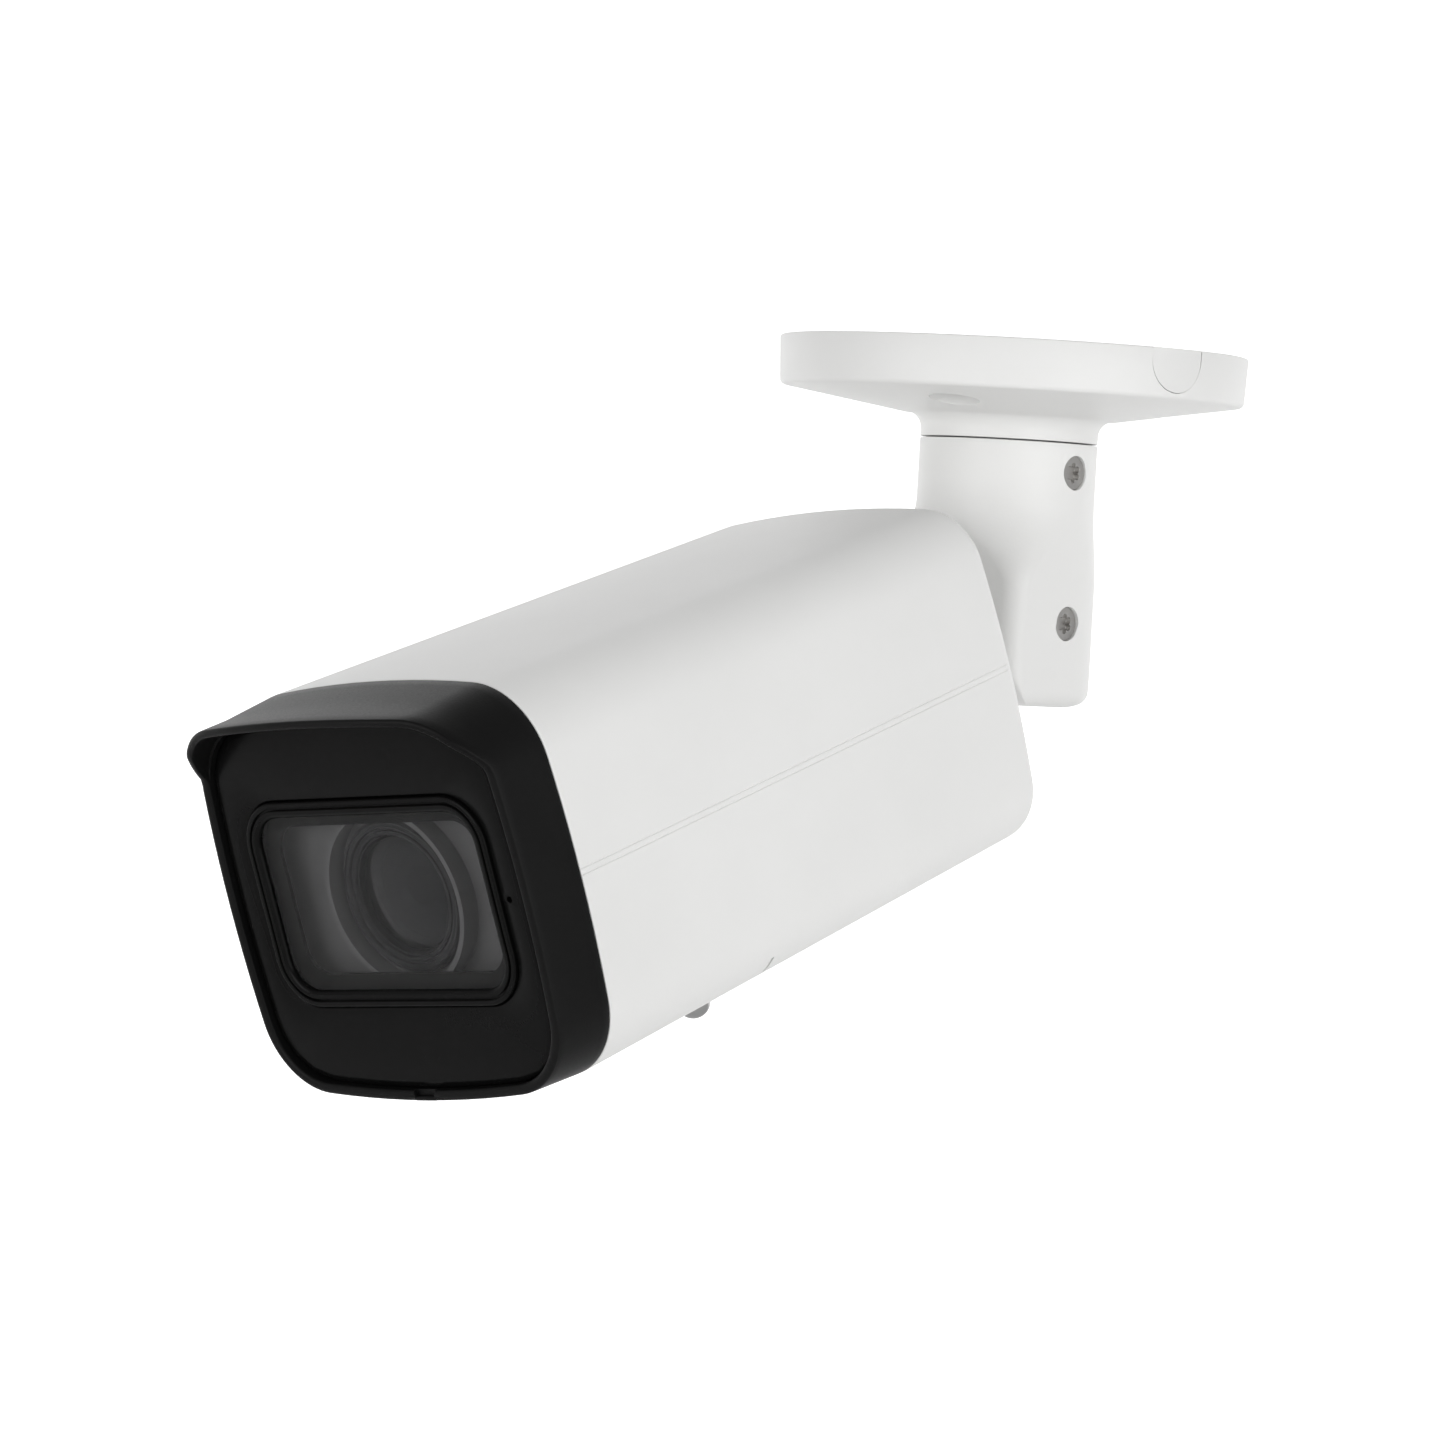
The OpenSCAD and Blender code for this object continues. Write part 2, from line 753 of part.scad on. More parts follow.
module card_cover_screws() {
  head_z = skin(cover_screw_y) - body_h / 2 + 0.1;
  color("silver") on_body() each_cover_screw() translate([0, 0, head_z]) {
    difference() {
      translate([0, 0, -eps]) scale([1, 1, dome_h / dome_r]) sphere(dome_r);
      translate([0, 0, eps]) cylinder(r = 10, h = 10);
    }
    translate([0, 0, -eps]) cylinder(r = screw_r, h = 7);
  }
}

// ---------- lens ----------

module lens_barrel() {
  glass_bore_r = front_glass_r + 0.6;
  color([0.1, 0.1, 0.1]) on_body() on_lens() difference() {
    union() {
      rod_y(barrel_front, flange_y + eps, ring_seat_r);
      rod_y(barrel_front, zoom_y - face_gap, barrel_r);
      rod_y(zoom_y + ring_l + face_gap, focus_y - face_gap, barrel_r);
      rod_y(focus_y + ring_l + face_gap, flange_y, barrel_r);
      rod_y(flange_y, flange_y + flange_t, flange_r);
    }
    rod_y(barrel_front - 1, flange_y + flange_t + 1, glass_bore_r - 1.6);
    rod_y(barrel_front - 1, barrel_front + 5, glass_bore_r);
    rod_y(flange_y - 8, flange_y + flange_t + 1, glass_bore_r - 1);
  }
}

module front_lens() {
  sag = 1.4;
  bulge_r = (pow(front_glass_r, 2) + pow(sag, 2)) / (2 * sag);
  color([0.6, 0.7, 0.8, 0.5]) on_body() on_lens() {
    intersection() {
      rod_y(barrel_front + 0.4, barrel_front + 4.9, front_glass_r);
      at(0, barrel_front + 0.4 + bulge_r, 0) sphere(bulge_r, $fn = 128);
    }
  }
}

module rear_lens() {
  color([0.6, 0.7, 0.8, 0.5]) on_body() on_lens() rod_y(flange_y - 6, flange_y - 2, front_glass_r - 0.5);
}

module aperture_ring() {
  front = barrel_front + 5.2;
  color("dimgray") on_body() on_lens() tube_y(front, front + 1.2, aperture_r, front_glass_r - 1.2);
}

// dark tray behind the window with a ring round the lens
module light_shield() {
  plate_t = 1;
  plate_y = barrel_front + 3;
  side_t = 1.2;
  color([0.15, 0.15, 0.15]) on_body() {
    difference() {
      along_y(frame_back, plate_y) rounded(frame_hw + side_t, frame_hh + side_t, frame_corner + side_t);
      along_y(frame_back - 1, plate_y - plate_t) rounded(frame_hw, frame_hh, frame_corner);
      on_lens() rod_y(barrel_front, plate_y + 1, barrel_r + gap);
    }
    on_lens() tube_y(gasket_back + gap, plate_y - plate_t + eps, shield_r - 1, shield_r);
  }
}

// ring that turns on the barrel and carries a gear at its front end
module lens_ring(y) {
  on_body() on_lens() difference() {
    union() {
      along_y(y, y + gear_l) gear_2d(ring_teeth);
      rod_y(y + gear_l - eps, y + ring_l, ring_pitch_r - 1.5);
    }
    rod_y(y - 1, y + ring_l + 1, ring_seat_r + run);
  }
}

module on_gear_axis(dir) {
  on_lens() translate([gear_centre * cos(dir), 0, gear_centre * sin(dir)]) children();
}

module lens_pinion(y, dir) {
  on_body() on_gear_axis(dir) difference() {
    along_y(y, y + gear_l) rotate(dir + 180 - 180 / pinion_teeth) gear_2d(pinion_teeth);
    rod_y(y - 1, y + gear_l + 1, pinion_bore_r + run);
  }
}

// stepper motor behind its pinion, with the shaft the pinion turns on
module lens_motor(y, dir) {
  on_body() on_gear_axis(dir) {
    rod_y(y + gear_l + face_gap, y + motor_end, motor_r);
    rod_y(y - 1, y + gear_l + 1, pinion_bore_r);
  }
}

module zoom_ring() { color("dimgray") lens_ring(zoom_y); }
module focus_ring() { color("gray") lens_ring(focus_y); }
module zoom_pinion() { color("white") lens_pinion(zoom_y, zoom_dir); }
module focus_pinion() { color("white") lens_pinion(focus_y, focus_dir); }
module zoom_motor() { color("silver") lens_motor(zoom_y, zoom_dir); }
module focus_motor() { color("silver") lens_motor(focus_y, focus_dir); }

// ---------- day and night filter ----------

module filter_housing() {
  y0 = flange_y + flange_t;
  y1 = filter_y + filter_t + filter_wall;
  color([0.1, 0.1, 0.1]) on_body() on_lens() {
    difference() {
      box([-18, y0, -14], [18, y1, 14]);
      box([-15, filter_y - 0.5, -filter_h], [15, filter_y + filter_t + 0.5, filter_h]);
      rod_y(y0 - 1, sensor_y, 7.5);
    }
    // posts that carry the sensor's board
    for (x = [-1, 1], z = [-1, 1]) at(x * 14, 0, z * 11.5) rod_y(y1 - eps, sensor_y, 1.5);
  }
}

// frame with two windows: the filter's is on the lens axis by day, the clear one by night
module filter_carrier() {
  rim = 1;
  color("dimgray") on_body() on_lens() difference() {
    box([-filter_travel - window_hw - rim, filter_y, 0.3 - filter_h],
        [window_hw + rim, filter_y + filter_t, filter_h - 0.3]);
    for (x = [-filter_travel, 0])
      box([x - window_hw, filter_y - 1, -window_hh], [x + window_hw, filter_y + filter_t + 1, window_hh]);
  }
}

module infrared_filter() {
  edge = 0.1;
  color([0.5, 0.7, 0.9, 0.6]) on_body() on_lens()
    box([edge - window_hw, filter_y + 2 * edge, edge - window_hh],
        [window_hw - edge, filter_y + filter_t - 3 * edge, window_hh - edge]);
}

// ---------- sensor, chassis and electronics ----------

module image_sensor() {
  color([0.2, 0.25, 0.3]) on_body() on_lens() box([-6, sensor_y - 1.2, -5], [6, sensor_y, 5]);
}

module sensor_board() {
  color("darkgreen") on_body() on_lens() box([-17, sensor_y, -17], [17, sensor_y + board_t, 17]);
}

module each_board_post() {
  inset = 3;
  for (x = [-1, 1], y = [main_y0 + inset, main_y1 - inset]) at(x * (main_w / 2 - inset), y, 0) children();
}

module each_foot() {
  for (x = [-1, 1], y = [foot_y0, foot_y1]) at(x * foot_x, y, 0) children();
}

module chassis() {
  color("silver") on_body() difference() {
    union() {
      box([-tray_w / 2, tray_y0, tray_z - tray_t], [tray_w / 2, tray_y1, tray_z]);
      box([-tray_w / 2, tray_y0, tray_z - eps], [tray_w / 2, flange_y - gap, tray_z + plate_h]);
      each_board_post() translate([0, 0, tray_z - eps]) cylinder(r = post_r, h = post_h);
      // feet down to the shell's floor
      intersection() {
        each_foot() at(0, 0, -body_h / 2) cylinder(r = 4, h = body_h / 2 + tray_z - eps);
        inside_space(run);
      }
      // post behind the zoom motor
      on_gear_axis(zoom_dir) rod_y(zoom_y + motor_end, tray_y0 + eps, motor_r - 1.5);
    }
    on_lens() rod_y(tray_y0 - 1, flange_y, barrel_r + gap);
    each_board_post() translate([0, 0, tray_z - tray_t - 1]) cylinder(r = tap_r, h = 20);
    each_foot() at(0, 0, -past) cylinder(r = tap_r, h = past);
  }
}

module chassis_screws() {
  color("silver") on_body() each_foot() at(0, 0, tray_z) {
    cylinder(r = small_head_r, h = small_head_h);
    translate([0, 0, -5]) cylinder(r = tap_r - run, h = 5 + eps);
  }
}

module main_board() {
  color("darkgreen") on_body() difference() {
    box([-main_w / 2, main_y0, board_z], [main_w / 2, main_y1, board_z + board_t]);
    each_board_post() translate([0, 0, board_z - 1]) cylinder(r = screw_r + 0.1, h = 5);
  }
}

module board_screws() {
  color("silver") on_body() each_board_post() at(0, 0, board_z + board_t) {
    cylinder(r = small_head_r, h = small_head_h);
    translate([0, 0, -5]) cylinder(r = tap_r - run, h = 5 + eps);
  }
}

module processor() {
  half = chip_size / 2;
  color([0.1, 0.1, 0.1]) on_body() at(0, chip_y, board_z + board_t)
    box([-half, -half, 0], [half, half, chip_t]);
}

// finned block that carries the processor's heat up to the air inside the shell
module heat_spreader() {
  half = 12;
  plate_t = 3;
  fin_t = 1.5;
  fin_pitch = 4;
  fin_h = 9;
  color("silver") on_body() at(0, chip_y, board_z + board_t + chip_t) {
    box([-half, -half, 0], [half, half, plate_t]);
    for (x = [-2 : 2]) at(x * fin_pitch, 0, plate_t - eps)
      box([-fin_t / 2, -half, 0], [fin_t / 2, half, fin_h]);
  }
}

// memory card socket and reset button, both reached through the card cover
module card_socket() {
  slot_hw = 6.5;
  skin_t = 0.6;
  color("silver") on_body() at(0, socket_y, tray_z - tray_t) difference() {
    box([-slot_hw - 1.5, 0, -socket_h], [slot_hw + 1.5, socket_l, 0]);
    box([-slot_hw, -1, skin_t - socket_h], [slot_hw, socket_l - 1, -skin_t]);
  }
}

module reset_switch() {
  half = 3;
  color([0.15, 0.15, 0.15]) on_body() at(button_x, button_y, tray_z - tray_t) difference() {
    box([-half, -half, -socket_h], [half, half, 0]);
    at(0, 0, -socket_h - 1) cylinder(r = button_r + button_clear, h = 1 + socket_h - 0.6);
  }
}

module reset_button() {
  color("white") on_body() at(button_x, button_y, tray_z - tray_t - socket_h - button_proud)
    cylinder(r = button_r, h = button_proud + 0.9);
}

// ---------- the assembly ----------

mount_base();
cable_entry_plug();
pan_o_ring();
arm();
pan_lock_screw();
tilt_lock_screw();
tilt_pivot_pin();
tilt_washers();
tilt_knuckle();
roll_retaining_ring();
outer_shell();
hood();
front_panel();
window_frame();
window_glass();
window_gasket();
front_seal();
rear_cover();
rear_seal();
rear_cover_screws();
roll_lock_screw();
cable_grommet();
card_cover();
card_cover_seal();
card_cover_screws();
lens_barrel();
front_lens();
rear_lens();
aperture_ring();
light_shield();
zoom_ring();
focus_ring();
zoom_motor();
focus_motor();
zoom_pinion();
focus_pinion();
filter_housing();
filter_carrier();
infrared_filter();
sensor_board();
image_sensor();
chassis();
chassis_screws();
main_board();
board_screws();
processor();
heat_spreader();
card_socket();
reset_button();
reset_switch();
microphone();
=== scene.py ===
import json
import math

import bmesh
import bpy
from mathutils import Matrix, Vector

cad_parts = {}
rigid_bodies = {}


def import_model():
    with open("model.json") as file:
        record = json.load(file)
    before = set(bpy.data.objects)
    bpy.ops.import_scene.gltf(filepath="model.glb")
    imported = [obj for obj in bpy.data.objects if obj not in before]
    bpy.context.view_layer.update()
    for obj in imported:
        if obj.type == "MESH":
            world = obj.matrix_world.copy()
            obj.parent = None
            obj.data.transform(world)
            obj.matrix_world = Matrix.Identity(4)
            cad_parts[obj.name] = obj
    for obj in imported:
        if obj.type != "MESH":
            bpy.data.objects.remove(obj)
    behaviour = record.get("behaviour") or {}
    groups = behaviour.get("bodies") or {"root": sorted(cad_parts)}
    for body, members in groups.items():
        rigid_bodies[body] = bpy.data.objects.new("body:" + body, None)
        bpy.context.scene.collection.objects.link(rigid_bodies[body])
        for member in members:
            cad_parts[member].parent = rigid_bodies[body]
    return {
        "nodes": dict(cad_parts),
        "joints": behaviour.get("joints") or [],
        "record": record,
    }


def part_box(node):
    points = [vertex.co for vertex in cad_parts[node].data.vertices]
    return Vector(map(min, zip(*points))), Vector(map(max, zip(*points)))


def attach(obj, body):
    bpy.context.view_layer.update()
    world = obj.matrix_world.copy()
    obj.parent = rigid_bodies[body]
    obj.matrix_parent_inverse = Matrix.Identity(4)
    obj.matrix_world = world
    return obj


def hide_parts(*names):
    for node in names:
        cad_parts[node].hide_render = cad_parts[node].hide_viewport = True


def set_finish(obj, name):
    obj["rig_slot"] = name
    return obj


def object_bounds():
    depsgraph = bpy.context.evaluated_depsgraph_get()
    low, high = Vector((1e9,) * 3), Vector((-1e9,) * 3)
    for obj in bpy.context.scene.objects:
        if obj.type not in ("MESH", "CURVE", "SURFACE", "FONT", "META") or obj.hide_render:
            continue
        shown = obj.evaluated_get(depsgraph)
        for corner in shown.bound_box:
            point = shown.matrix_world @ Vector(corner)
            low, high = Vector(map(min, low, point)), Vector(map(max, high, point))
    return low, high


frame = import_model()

cad_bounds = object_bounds()
MM = 0.001

# ---------- camera ----------

VIEW_AZIMUTH = math.radians(42.34)
VIEW_DROP = math.radians(-1.37)
VIEW_ROLL = math.radians(-3.21)
VIEW_DISTANCE = 1.1042
VIEW_AIM = Vector((5.98, -84.64, -74.59)) * MM
SENSOR_MM = 36
LENS_MM = 149.65


def make_camera():
    """Looks at the object from the front right, almost level with it and leaning a little."""
    forward = Vector((-math.sin(VIEW_AZIMUTH) * math.cos(VIEW_DROP),
                      math.cos(VIEW_AZIMUTH) * math.cos(VIEW_DROP), math.sin(VIEW_DROP)))
    right = forward.cross(Vector((0, 0, 1))).normalized()
    up = right.cross(forward)
    lean = Matrix.Rotation(VIEW_ROLL, 3, forward)
    axes = Matrix((lean @ right, lean @ up, -forward)).transposed()
    data = bpy.data.cameras.new("camera")
    data.sensor_width = SENSOR_MM
    data.lens = LENS_MM
    data.clip_start = 0.05
    data.clip_end = 20
    camera = bpy.data.objects.new("camera", data)
    camera.matrix_world = Matrix.Translation(VIEW_AIM - forward * VIEW_DISTANCE) @ axes.to_4x4()
    bpy.context.scene.collection.objects.link(camera)
    bpy.context.scene.camera = camera


# ---------- the body's own frame ----------

joints = {j["name"]: j for j in frame["joints"]}
pivot = Vector(joints["tilt"]["pos_m"])
body_right = Vector(joints["filter_slide"]["axis"])
body_back = Vector(joints["roll"]["axis"])
body_up = Vector(joints["reset_press"]["axis"])


def body_matrix(origin):
    return Matrix.Translation(origin) @ Matrix((body_right, body_back, body_up)).transposed().to_4x4()


def extent(node, axes):
    """Lowest and highest corner of a CAD node along a frame's own axes."""
    inverse = axes.inverted()
    points = [inverse @ v.co for v in frame["nodes"][node].data.vertices]
    return (Vector(min(p[k] for p in points) for k in range(3)),
            Vector(max(p[k] for p in points) for k in range(3)))


PANEL_FRONT = 1.3 * MM                  # the panel sits this far behind the hood's rim
rear_centre = Vector(joints["roll"]["pos_m"])
panel_y = extent("front_panel", body_matrix(rear_centre))[0].y
body = body_matrix(rear_centre + body_back * (panel_y - PANEL_FRONT))
shell_low, shell_high = extent("outer_shell", body)
hood_low, hood_high = extent("hood", body)

BODY_W = shell_high.x - shell_low.x
BODY_H = shell_high.z - shell_low.z
BODY_L = shell_high.y
HOOD_L = shell_low.y
VISOR_REACH = -hood_low.y
CROWN_TOP = 1.15 * MM
CROWN_SIDE = 0.9 * MM
CORNER_R = 15.5 * MM
CORNER_X = BODY_W / 2 - CROWN_SIDE - CORNER_R
CORNER_Z = BODY_H / 2 - CROWN_TOP - CORNER_R
TAPER = 3.7 * MM
RIM_INSET = 0.8 * MM
WALL = 2.2 * MM


def crown_radius(reach, crown):
    """Radius of the crown that touches both corner circles."""
    return (reach ** 2 + (CORNER_R + crown) ** 2 - CORNER_R ** 2) / (2 * crown)


TOP_R = crown_radius(CORNER_X, CROWN_TOP)
SIDE_R = crown_radius(CORNER_Z, CROWN_SIDE)
TOP_TURN = math.asin(CORNER_X / (TOP_R - CORNER_R))
SIDE_TURN = math.asin(CORNER_Z / (SIDE_R - CORNER_R))
CORNER_STEPS = 16
SIDE_STEPS = 10


def side_angles(marks):
    """Angles along a crowned side, with extra ones at the heights in marks."""
    angles = [SIDE_TURN * (2 * k / SIDE_STEPS - 1) for k in range(SIDE_STEPS)]
    return sorted(angles + [math.asin(m / SIDE_R) for m in marks])


def top_angles(marks):
    angles = [TOP_TURN * (2 * k / SIDE_STEPS - 1) for k in range(SIDE_STEPS)]
    return sorted(angles + [math.asin(m / TOP_R) for m in marks])


def section(side_marks=(), bottom_marks=()):
    """Points of the body's section as (centre, radius, direction), anticlockwise seen from the front."""
    places = []
    quarter = math.pi / 2

    def corner(sx, sz, start, end):
        for k in range(CORNER_STEPS):
            a = start + (end - start) * k / CORNER_STEPS
            places.append((Vector((sx * CORNER_X, sz * CORNER_Z)), CORNER_R, a))

    for a in side_angles(side_marks):
        places.append((Vector((BODY_W / 2 - SIDE_R, 0)), SIDE_R, a))
    corner(1, 1, SIDE_TURN, quarter - TOP_TURN)
    for a in top_angles(()):
        places.append((Vector((0, BODY_H / 2 - TOP_R)), TOP_R, quarter + a))
    corner(-1, 1, quarter + TOP_TURN, 2 * quarter - SIDE_TURN)
    for a in side_angles(side_marks):
        places.append((Vector((SIDE_R - BODY_W / 2, 0)), SIDE_R, 2 * quarter + a))
    corner(-1, -1, 2 * quarter + SIDE_TURN, 3 * quarter - TOP_TURN)
    for a in top_angles(bottom_marks):
        places.append((Vector((0, TOP_R - BODY_H / 2)), TOP_R, 3 * quarter + a))
    corner(1, -1, 3 * quarter + TOP_TURN, 4 * quarter - SIDE_TURN)
    return places


def on_section(place, inset):
    centre, radius, a = place
    r = radius - inset
    return centre.x + r * math.cos(a), centre.y + r * math.sin(a)


def skin_inset(y):
    """How far the outer surface is drawn in at a place along the body."""
    if y < HOOD_L:
        return RIM_INSET * (HOOD_L - y) / HOOD_L
    return TAPER * (y - HOOD_L) / (BODY_L - HOOD_L)


# ---------- mesh helpers ----------

SMOOTH_ANGLE = math.radians(32)


def finish_mesh(mesh, sharp=SMOOTH_ANGLE):
    """Recalculates the normals, then smooths every face and keeps the sharp edges sharp."""
    bm = bmesh.new()
    bm.from_mesh(mesh)
    bmesh.ops.remove_doubles(bm, verts=bm.verts, dist=0.002 * MM)
    bmesh.ops.recalc_face_normals(bm, faces=bm.faces)
    bm.to_mesh(mesh)
    bm.free()
    for polygon in mesh.polygons:
        polygon.use_smooth = True
    mesh.set_sharp_from_angle(angle=sharp)


def new_piece(name, mesh, body_name, slot, *nodes):
    obj = bpy.data.objects.new(name, mesh)
    bpy.context.scene.collection.objects.link(obj)
    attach(obj, body_name)
    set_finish(obj, slot)
    if nodes:
        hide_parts(*nodes)
    return obj


def ring_mesh(name, rings, loop=False, caps=False):
    """Skin through rings of equally many points. loop joins the last ring to the first."""
    mesh = bpy.data.meshes.new(name)
    count = len(rings[0])
    points = [p for ring in rings for p in ring]
    faces = []
    last = len(rings) if loop else len(rings) - 1
    for k in range(last):
        a = k * count
        b = (k + 1) % len(rings) * count
        for i in range(count):
            j = (i + 1) % count
            faces.append((a + i, a + j, b + j, b + i))
    if caps:
        faces.append(tuple(range(count)))
        faces.append(tuple(range((len(rings) - 1) * count, len(rings) * count)))
    mesh.from_pydata(points, [], faces)
    finish_mesh(mesh)
    return mesh


def place(mesh, matrix):
    mesh.transform(matrix)
    return mesh


def applied(obj):
    """Replaces an object's mesh by what its modifiers make of it."""
    bpy.context.view_layer.update()
    evaluated = obj.evaluated_get(bpy.context.evaluated_depsgraph_get())
    mesh = bpy.data.meshes.new_from_object(evaluated)
    obj.modifiers.clear()
    obj.data = mesh
    return obj


def bevelled(obj, width, segments=2, angle=40):
    """Rounds the sharp edges of a piece."""
    modifier = obj.modifiers.new("edges", "BEVEL")
    modifier.width = width
    modifier.segments = segments
    modifier.limit_method = "ANGLE"
    modifier.angle_limit = math.radians(angle)
    modifier.harden_normals = True
    applied(obj)
    return obj


def carve(mesh, cutters):
    """Takes closed cutter meshes out of a mesh."""
    obj = bpy.data.objects.new("carved", mesh)
    bpy.context.scene.collection.objects.link(obj)
    tools = []
    for cutter in cutters:
        tool = bpy.data.objects.new("cutter", cutter)
        bpy.context.scene.collection.objects.link(tool)
        modifier = obj.modifiers.new("cut", "BOOLEAN")
        modifier.operation = "DIFFERENCE"
        modifier.solver = "EXACT"
        modifier.object = tool
        tools.append(tool)
    applied(obj)
    made = obj.data
    bpy.data.objects.remove(obj)
    for tool in tools:
        bpy.data.objects.remove(tool)
    return made


def rod_mesh(centre, axis, radius, low, high, steps=48):
    """Closed rod along an axis through a centre, from low to high."""
    turn = Vector((0, 0, 1)).rotation_difference(axis).to_matrix()
    rings = [[centre + turn @ Vector((radius * math.cos(2 * math.pi * i / steps),
                                      radius * math.sin(2 * math.pi * i / steps), h)) for i in range(steps)]
             for h in (low, high)]
    return ring_mesh("rod", rings, caps=True)


def box_mesh(low, high):
    """Closed box from a low corner to a high corner."""
    corners = ((low.x, low.y), (high.x, low.y), (high.x, high.y), (low.x, high.y))
    rings = [[Vector((x, y, z)) for x, y in corners] for z in (low.z, high.z)]
    return ring_mesh("box", rings, caps=True)


# ---------- body pieces ----------

GROOVE_HEIGHTS = (1.6 * MM, 0.5 * MM)
GROOVE_W = 0.45 * MM
GROOVE_DEPTH = 0.2 * MM


def groove_marks():
    marks = []
    for z in GROOVE_HEIGHTS:
        marks += [z - GROOVE_W / 2, z - GROOVE_W / 4, z + GROOVE_W / 4, z + GROOVE_W / 2]
    return marks


def in_groove(place_on_side):
    """Whether a point of the section lies at the bottom of one of the side lines."""
    if place_on_side[1] != SIDE_R:
        return False
    z = on_section(place_on_side, 0)[1]
    return any(abs(z - g) < GROOVE_W * 0.3 for g in GROOVE_HEIGHTS)


def make_shell():
    """White outer shell with its two fine side lines, the card opening and the drain slots."""
    fillet = 4 * MM
    edge = 0.25 * MM
    seam_depth = 0.6 * MM
    rear_hole = TAPER + 6.85 * MM
    rear_seat = BODY_L - 5 * MM
    rear_edge = 0.3 * MM
    cover_gap = 0.15 * MM
    stations = [(HOOD_L + seam_depth, WALL), (HOOD_L, WALL), (HOOD_L, edge),
                (HOOD_L + edge * 0.3, edge * 0.3), (HOOD_L + edge, skin_inset(HOOD_L + edge))]
    groove_start = len(stations)
    stations += [(HOOD_L + 2 * edge, skin_inset(HOOD_L + 2 * edge))]
    runs = 12
    rear_start = BODY_L - fillet
    for k in range(1, runs + 1):
        y = HOOD_L + (rear_start - HOOD_L) * k / runs
        stations.append((y, skin_inset(y)))
    groove_end = len(stations) - 1
    steps = 8
    for k in range(1, steps + 1):
        a = math.pi / 2 * k / steps
        y = rear_start + fillet * math.sin(a)
        stations.append((y, skin_inset(rear_start) + (TAPER - skin_inset(rear_start)) * k / steps
                         + fillet * (1 - math.cos(a))))
    stations += [(BODY_L, rear_hole - rear_edge), (BODY_L - rear_edge, rear_hole), (rear_seat, rear_hole),
                 (rear_seat, TAPER + WALL)]
    places = section(groove_marks())
    rings = []
    for k, (y, inset) in enumerate(stations):
        ring = []
        for p in places:
            deeper = GROOVE_DEPTH if groove_start <= k <= groove_end and in_groove(p) else 0
            x, z = on_section(p, inset + deeper)
            ring.append(Vector((x, y, z)))
        rings.append(ring)
    mesh = ring_mesh("outer_shell", rings, loop=True)
    cover_low, cover_high = extent("card_cover", body)
    cutters = [box_mesh(Vector((cover_low.x - cover_gap, cover_low.y - cover_gap, -BODY_H)),
                        Vector((cover_high.x + cover_gap, cover_high.y + cover_gap, -BODY_H / 4)))]
    drain_half = Vector((1, 0.4, 2.2)) * MM
    drain_x = 31.2 * MM
    drain_y = 59 * MM
    for s in (-1, 1):
        turn = Matrix.Rotation(s * math.pi / 4, 4, "Y")
        centre = Matrix.Translation(Vector((s * drain_x, drain_y, -drain_x)))
        cutters.append(place(box_mesh(-drain_half, drain_half), centre @ turn))
    mesh = carve(mesh, cutters)
    finish_mesh(mesh, math.radians(38))
    return new_piece("outer_shell_paint", place(mesh, body), "camera", "white_paint", "outer_shell")


def visor_edge(x, z):
    """How far in front of the rim the hood's edge is at a point of its outline."""
    low = 24 * MM
    rise = 1.35
    if z <= low:
        return 0
    plan = VISOR_REACH * math.sqrt(max(0, 1 - (x / (BODY_W / 2)) ** 2))
    return min(plan, (z - low) / rise)


def make_hood():
    """Black hood: one wall that runs round the window and out into the visor, with a rounded lip."""
    rim_wall = 1.9 * MM
    visor_wall = 1.5 * MM
    notch_wall = 0.9 * MM
    lip = 0.55 * MM
    notch_hw = 2.5 * MM
    soft = 0.15 * MM
    seam = 0.4 * MM
    spigot = 5 * MM
    panel_back = PANEL_FRONT + 2.2 * MM
    places = section(bottom_marks=(-notch_hw - soft, -notch_hw, notch_hw, notch_hw + soft))

    def row(make):
        ring = []
        for p in places:
            x, z = on_section(p, RIM_INSET)
            notched = z < 0 and abs(x) < notch_hw + soft / 2
            y, inset = make(visor_edge(x, z), notched)
            px, pz = on_section(p, inset)
            ring.append(Vector((px, y, pz)))
        return ring

    def wall_at(reach, notched):
        if notched:
            return notch_wall
        return rim_wall + (visor_wall - rim_wall) * min(1, reach / (2 * MM))

    def outside(t):
        def make(reach, notched):
            y = (HOOD_L - seam) * (1 - t) + (lip - reach) * t
            return y, RIM_INSET * min(1, (HOOD_L - y) / (HOOD_L - lip))
        return make

    def lip_round(a):
        def make(reach, notched):
            half_wall = wall_at(reach, notched) / 2
            return lip - reach - lip * math.sin(a), RIM_INSET + half_wall * (1 - math.cos(a))
        return make

    runs = 8
    rings = [row(lambda r, n: (HOOD_L + spigot, WALL + 0.35 * MM)),
             row(lambda r, n: (HOOD_L + 0.02 * MM, WALL + 0.15 * MM)),
             row(lambda r, n: (HOOD_L - 0.05 * MM, 0.3 * MM)),
             row(lambda r, n: (HOOD_L - 0.15 * MM, 0.1 * MM))]
    rings += [row(outside(k / runs)) for k in range(runs + 1)]
    rings += [row(lip_round(math.pi * k / runs)) for k in range(1, runs + 1)]
    rings += [row(lambda r, n: (PANEL_FRONT * 0.8 if n else lip * 1.1, RIM_INSET + wall_at(r, n))),
              row(lambda r, n: (PANEL_FRONT * 0.9 if n else lip * 1.3, RIM_INSET + rim_wall)),
              row(lambda r, n: (panel_back, RIM_INSET + rim_wall)),
              row(lambda r, n: (panel_back, RIM_INSET + rim_wall + 2 * MM)),
              row(lambda r, n: (HOOD_L + spigot, WALL + 2.2 * MM))]
    mesh = ring_mesh("hood", rings, loop=True)
    return new_piece("hood_moulding", place(mesh, body), "camera", "black_hood", "hood")


